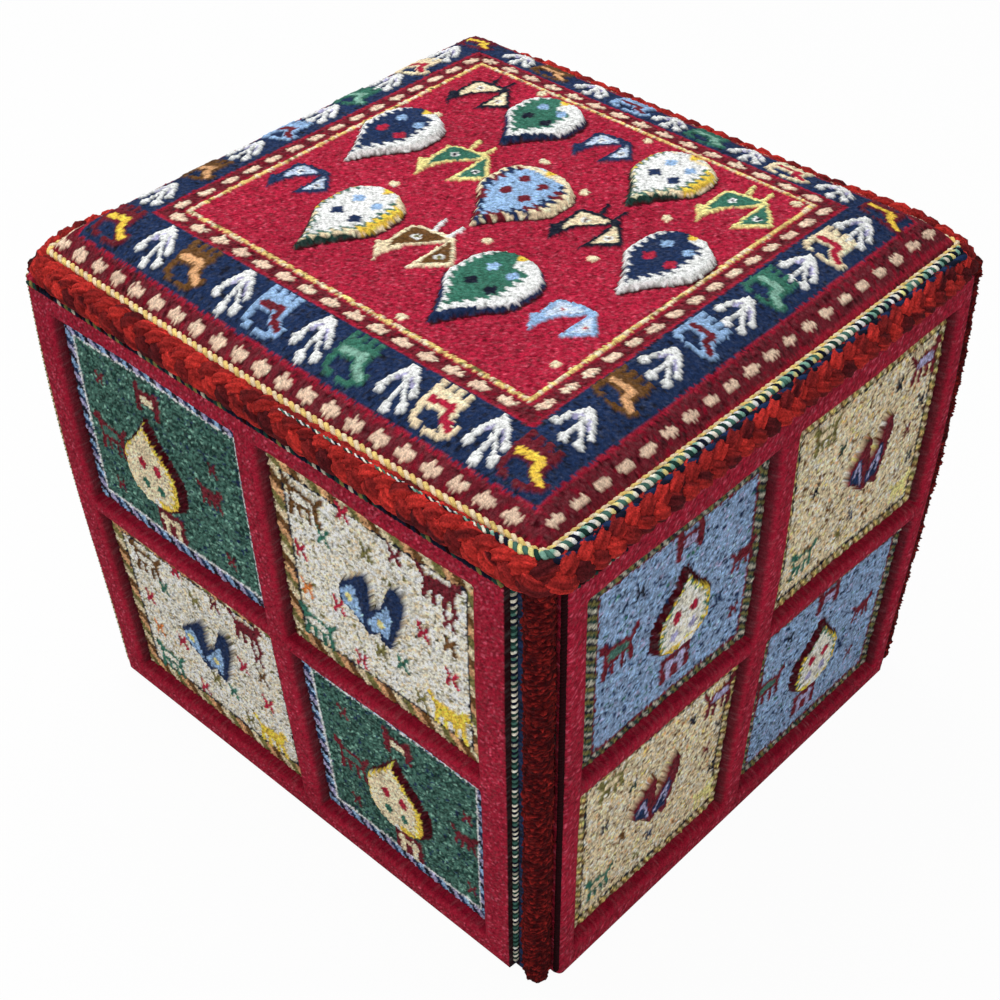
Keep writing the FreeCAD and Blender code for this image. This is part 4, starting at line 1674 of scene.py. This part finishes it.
def frames(points: np.ndarray, closed: bool, side: np.ndarray) -> tuple[np.ndarray, np.ndarray, np.ndarray]:
    """Directions along and across a line.

    Args:
        points: Points of the line.
        closed: Whether its ends meet.
        side: A direction that the first across leans to, one or one per point.

    Returns:
        The directions along, across and square to both.
    """
    if closed:
        ring = np.vstack([points[-2:-1], points, points[1:2]])
        along = ring[2:] - ring[:-2]
    else:
        along = np.gradient(points, axis=0)
    along /= np.linalg.norm(along, axis=1, keepdims=True)
    across = side - np.sum(side * along, axis=1, keepdims=True) * along
    across /= np.linalg.norm(across, axis=1, keepdims=True)
    return along, across, np.cross(along, across)


def tube(line: np.ndarray, closed: bool, side: np.ndarray, radius: np.ndarray, count: int) -> np.ndarray:
    """Rings of points round a line; an open one is drawn to a point at its ends.

    Args:
        line: Points of the line.
        closed: Whether its ends meet.
        side: Where the rings start.
        radius: Radius at each ring's points.
        count: Points in a ring.

    Returns:
        The points, a row to a ring, with the first point of each ring repeated.
    """
    _, across, square = frames(line, closed, side)
    angle = np.linspace(0, TURN, count + 1)
    rim = np.cos(angle)[None, :, None] * across[:, None, :] + np.sin(angle)[None, :, None] * square[:, None, :]
    rings = line[:, None, :] + radius[..., None] * rim
    if closed:
        rings[-1] = rings[0]
    else:
        rings[0] = line[0]
        rings[-1] = line[-1]
    rings[:, -1] = rings[:, 0]
    return rings


@dataclass
class TwistCord:
    """A cord of two strands twisted about each other, each spun from one yarn or several by turns."""

    name: str
    route: Route
    yarns: tuple[tuple[Yarn, ...], tuple[Yarn, ...]]
    strand: float
    spread: float
    pitch: float
    seed: int
    slot: str = "cord_wool"
    thin_after: float = 1e9
    thin_run: float = 40.0
    thinning: float = 0.68
    uneven: float = 0.07
    fade: float = 0.14
    count: int = 8

    def build(self, loom: Loom) -> list[bpy.types.Object]:
        """Twist both strands.

        Args:
            loom: What makes the meshes.

        Returns:
            The two strands.
        """
        points, along, length = self.route.steps(self.pitch / 9)
        up = np.tile([0.13, 0.07, 1.0], (len(points), 1))
        direction = points[-1] - points[0]
        if not self.route.closed and abs(direction[2]) > 0.7 * np.linalg.norm(direction):
            up = np.tile([1.0, 0.3, 0.0], (len(points), 1))
        _, across, square = frames(points, self.route.closed, up)
        turns = max(1, round(length / self.pitch))
        chance = np.random.default_rng(self.seed)
        around = np.ones((1, self.count + 1))
        made = []
        for index, yarns in enumerate(self.yarns):
            angle = TURN * turns * along / length + index * math.pi
            radial = np.cos(angle)[:, None] * across + np.sin(angle)[:, None] * square
            size = 1 - self.thinning * ramp(along, self.thin_after, self.thin_run)[:, None]
            line = points + self.spread * size * radial
            swell = self.strand * size * (1 + self.uneven * chance.standard_normal((len(line), 1)) * around)
            rings = tube(line, self.route.closed, radial, swell, self.count)
            shade = chance.normal(1.0, self.fade, (len(line), 1, 1)) * around[..., None]
            picked = chance.integers(len(yarns), size=turns + 1)[np.floor(along / length * turns).astype(int)]
            dyed = np.stack([yarn.linear for yarn in yarns])[picked][:, None, :]
            colours = np.clip(dyed * shade, 0, 1)
            made.append(loom.weave(f"{self.name}_{index + 1}", rings, colours, "cord", weld=0.02))
        return made


@dataclass
class Plait:
    """The thick three-strand plait along the top edge."""

    pouf: Pouf
    half: Point = (210.8, 195.8)
    corner: float = 15.0
    z: float = 350.4
    strand: float = 5.7
    sweep: float = 4.1
    cross: float = 2.9
    pitch: float = 35.0
    tilt: float = 38.0
    plies: int = 8
    ply_depth: float = 0.09
    ply_shade: float = 0.24
    twist: float = 19.0
    bright: tuple[float, float, float] = (0.8, 0.56, 0.36)
    step: float = 1.7
    count: int = 33

    def build(self, loom: Loom) -> list[bpy.types.Object]:
        """Plait the three strands round the rim.

        Args:
            loom: What makes the meshes.

        Returns:
            The strands.
        """
        points, along, length = Route.loop(self.half, self.corner, self.z).steps(self.step)
        points[:, 2] -= self.pouf.sunk(points[:, 0], points[:, 1])
        points = self.pouf.drawn_in(points, self.half)
        _, up, inward = frames(points, True, np.tile([0.0, 0.0, 1.0], (len(points), 1)))
        outward = -inward if np.sum(inward[0] * points[0]) < 0 else inward
        tilt = math.radians(self.tilt)
        face = math.cos(tilt) * outward + math.sin(tilt) * up
        width = math.cos(tilt) * up - math.sin(tilt) * outward
        turns = round(length / self.pitch)
        twists = round(length / self.twist)
        chance = np.random.default_rng(Seed.PLAIT)
        ring = np.linspace(0, TURN, self.count + 1)
        made = []
        for index, bright in enumerate(self.bright):
            angle = TURN * (turns * along / length + index / 3)
            line = points + (self.sweep * np.sin(angle))[:, None] * width
            line = line + (self.cross * np.sin(2 * angle))[:, None] * face
            ply = self.plies * ring[None, :] + TURN * twists * along[:, None] / length
            groove = np.cos(ply)
            fray = chance.normal(0, 0.045, (len(line), self.count + 1))
            rings = tube(line, True, face, self.strand * (1 + self.ply_depth * groove + fray), self.count)
            tones = chance.normal(0, 0.28, self.plies)[np.floor(ply / TURN).astype(int) % self.plies]
            lobe = chance.normal(0, 0.2, turns + 1)[np.floor(angle / TURN).astype(int) % (turns + 1)]
            # 0.2 * sin(angle) makes a strand redder where it rides up and darker where it dips: painted light on the
            # upper row and painted shade on the lower.
            share = np.clip(bright + 0.2 * np.sin(angle)[:, None] + lobe[:, None] + tones, 0, 1)[..., None]
            colours = Yarn.PLAIT_DARK.linear * (1 - share) + Yarn.PLAIT_RED.linear * share
            # ply_shade darkens the grooves between plies and lightens their crowns: painted shade and painted light.
            colours = colours * (1 + self.ply_shade * groove[..., None]) * chance.normal(1.0, 0.18, share.shape)
            made.append(
                loom.weave(f"edge_plait_{index + 1}", rings, np.clip(colours, 0, 1), "plait", weld=0.02)
            )
        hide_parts("top_edge_plait")
        return made


ROLL_PLACES = ((11.0, 7.3), (7.8, 10.8), (10.0, 10.0), (13.0, 6.0))


@dataclass
class CornerRoll:
    """A shaggy roll of wound yarn down one corner."""

    corner: str
    quarter: int
    pouf: Pouf
    inset: float
    depth: float
    radius: float = 7.9
    low_z: float = 2.4
    high_z: float = 346.0
    wrap: float = 3.4
    fray: float = 0.045
    hair_length: float = 0.24
    step: float = 0.85
    count: int = 30

    def build(self, loom: Loom) -> bpy.types.Object:
        """Wind the roll.

        Args:
            loom: What makes the mesh.

        Returns:
            The roll.
        """
        z = np.arange(self.low_z, self.high_z, self.step)
        run, reach = self.pouf.plan(self.quarter)
        x = self.pouf.half_at(run, z) - self.inset
        y = self.depth - self.pouf.half_at(reach, z)
        line = self.pouf.turned(np.stack([x, y, z], 1), self.quarter)
        chance = np.random.default_rng(Seed.ROLL + self.quarter)
        angle = np.linspace(0, TURN, self.count + 1)
        phase = angle[None, :] - TURN * z[:, None] / self.wrap
        ridge = np.abs(np.cos(phase / 2)) ** 0.7
        hair = chance.random((len(z), self.count + 1)) ** 7
        loose = chance.normal(0, self.fray, hair.shape) + self.hair_length * hair
        lumps = 0.06 * np.sin(z / 5.3)[:, None] * np.cos(angle * 2 + z[:, None] / 9)
        taper = np.sqrt(np.clip((z - self.low_z) / 6, 0.05, 1))[:, None]
        radius = self.radius * (0.88 + 0.12 * ridge + loose + lumps) * taper
        rings = tube(line, False, np.tile([1.0, 0.0, 0.0], (len(z), 1)), radius, self.count)
        # The factor 0.7 + 0.35 * ridge darkens the yarn between the wraps: painted shade in the grooves; the normal
        # draw is random tone.
        shade = chance.normal(0.95, 0.2, hair.shape + (1,)) * (0.7 + 0.35 * ridge[..., None])
        share = np.clip(0.9 * hair + 0.2 * chance.random(hair.shape) ** 4, 0, 1)[..., None]
        colours = (Yarn.ROLL_RED.linear * (1 - share) + Yarn.PLAIT_RED.linear * share) * shade
        roll = loom.weave(
            f"corner_roll_{self.corner}_yarn", rings, np.clip(colours, 0, 1), "plait", weld=0.02
        )
        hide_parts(f"corner_roll_{self.corner}")
        return roll


@dataclass
class Trim:
    """All the thin cords: rim cord, edge twist and the corners' twists."""

    pouf: Pouf
    rim_half: Point = (200.6, 185.6)
    rim_z: float = 357.2
    edge_half: Point = (205.2, 190.2)
    edge_z: float = 359.6
    edge_bend: float = 9.0
    edge_end: float = 13.0
    strip_out: float = 4.4
    strip_drop: float = 1.4
    low_z: float = 8.0
    high_z: float = 343.0
    front_shift: float = 2.2
    shift: float = 0.8
    front_head_z: float = 340.4
    head_z: float = 342.6
    right_head: float = 58.0
    line_points: int = 12
    head_points: int = 24

    def build(self, loom: Loom) -> list[bpy.types.Object]:
        """Lay the cords.

        Args:
            loom: What makes the meshes.

        Returns:
            Their strands.
        """
        made = self._rim(loom) + self._edge(loom)
        for quarter, side in enumerate(SIDES):
            made += self._corner(loom, quarter, side)
        return made

    def _rim(self, loom: Loom) -> list[bpy.types.Object]:
        """The yellow and cream cord along the top rug's rim.

        Args:
            loom: What makes the meshes.

        Returns:
            Its strands.
        """
        route = Route.loop(self.rim_half, 6.0, self.rim_z)
        swollen = self.pouf.bowed(route.points[:, 0], route.points[:, 1])
        route.points[:, 2] += 0.4 * (route.points[:, 1] - swollen)
        route.points[:, 1] = swollen
        strands = TwistCord("rim_cord", route, ((Yarn.STRAW,), (Yarn.CREAM,)), 1.4, 1.1, 9.0, Seed.RIM_CORD).build(loom)
        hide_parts("rim_cord")
        return strands

    def _edge(self, loom: Loom) -> list[bpy.types.Object]:
        """The green and white twist along the right edge, with its navy strip.

        Args:
            loom: What makes the meshes.

        Returns:
            Their strands.
        """
        x, y = self.edge_half
        r = self.edge_bend
        bend = [(x - r + r * math.cos(a), r - y + r * math.sin(a)) for a in np.linspace(0, -TURN / 4, 12)]
        front = [(step, self.pouf.bowed(step, -y) - 0.6) for step in np.linspace(x - self.edge_end, 22, 20)]
        plan = [(x, y - self.edge_end), *bend, *front]
        route = Route(np.array([(px, py, self.edge_z) for px, py in plan]), False)
        pale = (Yarn.IVORY, Yarn.WHITE, Yarn.MINT, Yarn.PALE_YELLOW)
        dark = (Yarn.DARK_GREEN, Yarn.LEAF, Yarn.INK)
        twist = TwistCord("edge_twist", route, (pale, dark), 1.55, 1.4, 5.8, Seed.EDGE_TWIST, thin_after=375.0)
        strands = twist.build(loom)
        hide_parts("edge_twist")
        outer = [(px + self.strip_out * (px > x - r - 0.1), py, self.edge_z - self.strip_drop) for px, py in plan[:8]]
        route = Route(np.array(outer), False)
        strip = TwistCord("edge_strip", route, ((Yarn.INK,), (Yarn.NAVY,)), 1.9, 0.5, 16.0, Seed.EDGE_STRIP)
        return strands + strip.build(loom)

    def _side_line(self, quarter: int, across: np.ndarray, depth: float, z: np.ndarray) -> Route:
        """A line on one side; across counts in from its right end, or from its left end where it is negative.

        Args:
            quarter: The side, counted from the front.
            across: Distances in from the side's ends.
            depth: How far behind the bars' outer plane.
            z: Heights.

        Returns:
            The line.
        """
        run, reach = self.pouf.plan(quarter)
        half = self.pouf.half_at(run, z)
        x = np.where(across > 0, half - across, -half - across)
        y = depth - self.pouf.half_at(reach, z)
        points = self.pouf.turned(np.stack([x, y, z], -1), quarter)
        return Route(self.pouf.settled(points, z), False)

    def _corner(self, loom: Loom, quarter: int, side: str) -> list[bpy.types.Object]:
        """The twist down one side's right-hand end; at its left end a thin olive and beige cord on the front and a
        thicker cord of painted shade filling the dark gap on the other sides; and the head line under the plait.

        Args:
            loom: What makes the meshes.
            quarter: The side, counted from the front.
            side: The side's name.

        Returns:
            Their strands.
        """
        lattice = LATTICES[side]
        at_front = side == "front"
        z = np.linspace(self.low_z, self.high_z, self.line_points)
        whole = np.ones(self.line_points)
        end = (lattice.bar_end + lattice.roll_room) / 2 + (self.front_shift if at_front else self.shift)
        route = self._side_line(quarter, end * whole, 4.2, z)
        corner = CORNERS[quarter]
        yarns = ((Yarn.FLAX, Yarn.IVORY, Yarn.LEAF), (Yarn.INK, Yarn.DARK_GREEN))
        seed = Seed.CORNER_TWIST + quarter
        twist = TwistCord(f"corner_twist_{corner}", route, yarns, 1.05, 0.95, 4.4, seed).build(loom)
        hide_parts(f"corner_twist_{corner}")
        route = self._side_line(quarter, -(lattice.left_room - 0.4) * whole, 2.6, z)
        # At the front's left end an olive and beige cord; elsewhere a SHADE cord stands in the gap beside the roll as
        # painted shade.
        yarns = ((Yarn.OLIVE,), (Yarn.BEIGE,)) if at_front else ((Yarn.SHADE,), (Yarn.SHADE,))
        stout = 1.0 if at_front else 1.5
        seed = Seed.END_LINE + quarter
        thin = TwistCord(f"end_line_{side}", route, yarns, 0.85 * stout, 0.6, 5.0, seed).build(loom)
        run, _ = self.pouf.plan(quarter)
        reach = self.right_head if side == "right" else 2 * run - lattice.bar_end
        across = np.linspace(2 * run - lattice.left_room - 3, 2 * run - reach, self.head_points)
        head = np.full(self.head_points, self.front_head_z if at_front else self.head_z)
        route = self._side_line(quarter, across, -0.5, head)
        # SHADE among the pale strand's turns is painted shade under the plait, darkening the flecked cord.
        yarns = ((Yarn.DARK_GREEN, Yarn.INK), (Yarn.FLAX, Yarn.SHADE, Yarn.INK, Yarn.OLIVE))
        seed = Seed.HEAD_LINE + quarter
        top = TwistCord(f"head_line_{side}", route, yarns, 1.15, 0.8, 7.0, seed).build(loom)
        return twist + thin + top


@dataclass
class Underside:
    """Hems under the base, and the cambric dust cover."""

    pouf: Pouf
    hem_width: float = 40.0
    hem_low: float = 6.1
    hem_high: float = 9.9
    mitre: float = 4.0
    inset: float = 12.2
    fold: float = 12.0
    stripes: float = 90.0
    cover_z: float = 5.35
    pucker: float = 0.25
    pucker_reach: float = 20.0
    cloth: float = 0.0005

    def build(self, loom: Loom) -> list[bpy.types.Object]:
        """Fold the hems under and stretch the cover.

        Args:
            loom: What makes the meshes.

        Returns:
            The pieces.
        """
        return [self._hem(loom, quarter, side) for quarter, side in enumerate(SIDES)] + [self._cover(loom)]

    def _hem(self, loom: Loom, quarter: int, side: str) -> bpy.types.Object:
        """One hem: the rug's flat back folded under the base board.

        Args:
            loom: What makes the mesh.
            quarter: The side, counted from the front.
            side: The side's name.

        Returns:
            The hem.
        """
        chance = np.random.default_rng(Seed.HEM + quarter)
        run, reach = (half - self.pouf.flare - self.inset for half in self.pouf.plan(quarter))
        s, d = np.meshgrid(np.linspace(-1, 1, 160), np.linspace(0, self.hem_width - self.fold, 18))
        z = self.hem_low + 0.25 * chance.random(s.shape)
        points = self.pouf.turned(np.stack([s * (run - d - self.mitre), d - reach, z], -1), quarter)
        colours = np.where((np.floor(s * self.stripes) % 2 == 0)[..., None], Yarn.BEIGE.linear, Yarn.BAR_RED.linear)
        hem = loom.weave(f"hem_{side}", points, colours * chance.normal(1, 0.1, s.shape)[..., None], "rug")
        loom.back(hem, Vector((0, 0, (self.hem_high - self.hem_low) * MM)), None, Vector())
        return hem

    def _cover(self, loom: Loom) -> bpy.types.Object:
        """The dust cover: thin black cloth stretched over the hems' edges.

        Args:
            loom: What makes the mesh.

        Returns:
            The cover.
        """
        low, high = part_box("dust_cover")
        wide, deep = high[0] / MM, high[1] / MM
        x, y = np.meshgrid(np.linspace(-wide, wide, 64), np.linspace(-deep, deep, 60))
        edge = np.minimum(wide - np.abs(x), deep - np.abs(y)) / self.pucker_reach
        z = self.cover_z + np.clip(1 - edge, 0, 1) * self.pucker * np.sin((x + y) / 6)
        colours = np.tile(Yarn.INK.linear, x.shape + (1,))
        cover = loom.weave("dust_cover_cloth", np.stack([x, y, z], -1), colours, "rug")
        thick = cover.modifiers.new("thickness", "SOLIDIFY")
        thick.thickness = self.cloth
        thick.offset = 0.0
        bpy.ops.object.modifier_apply(modifier=thick.name)
        cover.data.materials[0] = Stuff(
            "black_cambric", (0.010, 0.010, 0.012), (0.030, 0.030, 0.034), 900.0, 0.0003, 0.85
        ).material()
        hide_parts("dust_cover")
        return cover


@dataclass
class Carcass:
    """Finishes of the CAD parts that stay as they are."""

    def dress(self, frame: dict) -> None:
        """Give each kept CAD node its material.

        Args:
            frame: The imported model.
        """
        ply = Timber("birch_plywood", (0.62, 0.44, 0.25), (0.47, 0.30, 0.15), (1.0, 1.0, 0.12)).material()
        pine = Timber("sawn_pine", (0.68, 0.46, 0.22), (0.50, 0.29, 0.11), (1.0, 1.0, 0.06)).material()
        foam = Stuff("seat_foam", (0.72, 0.66, 0.46), (0.84, 0.79, 0.62), 900.0, 0.0005, 0.9).material()
        felt = Stuff("side_wadding", (0.60, 0.60, 0.58), (0.80, 0.80, 0.77), 500.0, 0.001, 0.95).material()
        plastic = Stuff("glide_plastic", (0.015, 0.015, 0.016), (0.03, 0.03, 0.032), 400.0, 0.0001, 0.42).material()
        rules = (("board", ply), ("corner_post", pine), ("seat_foam", foam), ("side_pad", felt), ("glides", plastic))
        for name in frame["nodes"]:
            node = bpy.data.objects.get(name)
            for word, material in rules:
                if word in name and node is not None:
                    node.data.materials.clear()
                    node.data.materials.append(material)


@dataclass
class Studio:
    """Floor, lights, background and camera."""

    lens: float = 62.15
    camera_at: tuple[float, float, float] = (0.6051, -0.6403, 0.9179)
    aim: tuple[float, float, float] = (0.0154, -0.0215, 0.18)
    roll: float = -0.81
    sensor: float = 36.0
    sky: float = 0.42
    floor_glow: float = 0.96
    floor_size: float = 8.0
    lamp_aim: tuple[float, float, float] = (0.0, 0.0, 0.2)

    def build(self) -> None:
        """Set up the studio."""
        self._floor()
        self._world()
        self._lamp("key", (-0.75, 0.15, 1.9), 1.4, 24.0)
        self._lamp("fill", (1.0, -1.2, 1.0), 1.2, 9.0)
        self._camera()
        bpy.context.scene.view_settings.view_transform = "Standard"

    @staticmethod
    def _background(recipe: Recipe) -> Tone:
        """1 where the camera, a reflection or glass looks straight at the background.

        Args:
            recipe: The tree that asks.

        Returns:
            The number.
        """
        path = recipe.node("ShaderNodeLightPath")
        seen = Tone(recipe, path.outputs["Is Camera Ray"]) + Tone(recipe, path.outputs["Is Glossy Ray"])
        return seen + Tone(recipe, path.outputs["Is Transmission Ray"])

    def _floor(self) -> None:
        """A pale floor that is near white and keeps the shadow."""
        Loom.idle()
        bpy.ops.mesh.primitive_plane_add(size=self.floor_size)
        floor = bpy.context.object
        floor.name = "studio_floor"
        recipe = Recipe(bpy.data.materials.new("studio_floor"))
        diffuse = recipe.node("ShaderNodeBsdfDiffuse", None, {"Color": (0.8, 0.8, 0.8, 1.0)})
        glow = recipe.node("ShaderNodeEmission", None, {"Color": (1.0, 1.0, 1.0, 1.0), "Strength": 1.0})
        factor = self._background(recipe) * self.floor_glow
        mixed = recipe.node("ShaderNodeMixShader", None, {0: factor, 1: diffuse.outputs[0], 2: glow.outputs[0]})
        recipe.node("ShaderNodeOutputMaterial", None, {"Surface": mixed.outputs[0]})
        floor.data.materials.append(recipe.owner)

    def _world(self) -> None:
        """Soft light from all round, and a white background."""
        world = bpy.data.worlds.new("studio")
        bpy.context.scene.world = world
        recipe = Recipe(world)
        strength = self.sky + (1 - self.sky) * self._background(recipe)
        sky = recipe.node("ShaderNodeBackground", None, {"Color": (1.0, 1.0, 1.0, 1.0), "Strength": strength})
        recipe.node("ShaderNodeOutputWorld", None, {"Surface": sky.outputs[0]})

    def _lamp(self, name: str, place: tuple[float, float, float], size: float, power: float) -> None:
        """A square soft light aimed at the pouf.

        Args:
            name: The lamp's name.
            place: Where it hangs, in metres.
            size: Its width in metres.
            power: Its power in watts.
        """
        Loom.idle()
        bpy.ops.object.light_add(type="AREA", location=place)
        lamp = bpy.context.object
        lamp.name = name
        lamp.data.size = size
        lamp.data.energy = power
        lamp.rotation_mode = "QUATERNION"
        lamp.rotation_quaternion = (Vector(self.lamp_aim) - Vector(place)).to_track_quat("-Z", "Y")

    def _camera(self) -> None:
        """The photograph's camera."""
        Loom.idle()
        bpy.ops.object.camera_add(location=self.camera_at)
        camera = bpy.context.object
        camera.data.lens = self.lens
        camera.data.sensor_width = self.sensor
        look = (Vector(self.aim) - Vector(self.camera_at)).to_track_quat("-Z", "Y").to_matrix()
        camera.rotation_euler = (look @ Matrix.Rotation(math.radians(self.roll), 3, "Z")).to_euler()
        bpy.context.scene.camera = camera


def main() -> None:
    """Build the pouf's pieces in order and report each."""
    logging.basicConfig(level=logging.INFO, format="%(message)s")
    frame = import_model()
    pouf = Pouf()
    wool = {
        "rug": KnottedWool("rug_wool").material(),
        "plait": KnottedWool("plait_wool", 900.0, 2.0, 0.0012).material(),
        "cord": KnottedWool("cord_wool", 1300.0, 0.9, 0.0005).material(),
    }
    loom = Loom(wool)
    front = (Panel.GREEN, Panel.IVORY, Panel.IVORY, Panel.GREEN)
    right = (Panel.BLUE, Panel.BEIGE, Panel.BEIGE, Panel.BLUE)
    pieces = [TopRug(pouf).build(loom)]
    for quarter, side in enumerate(SIDES):
        pieces.append(SideRug(side, quarter, right if quarter % 2 else front, pouf).build(loom))
    pieces += Plait(pouf).build(loom)
    pieces += Trim(pouf).build(loom)
    for quarter, (corner, (inset, depth)) in enumerate(zip(CORNERS, ROLL_PLACES)):
        pieces.append(CornerRoll(corner, quarter, pouf, inset, depth).build(loom))
    pieces += Underside(pouf).build(loom)
    Carcass().dress(frame)
    Studio().build()
    for piece in pieces:
        LOG.info("%s: %d faces", piece.name, len(piece.data.polygons))


if __name__ == "__main__":
    main()
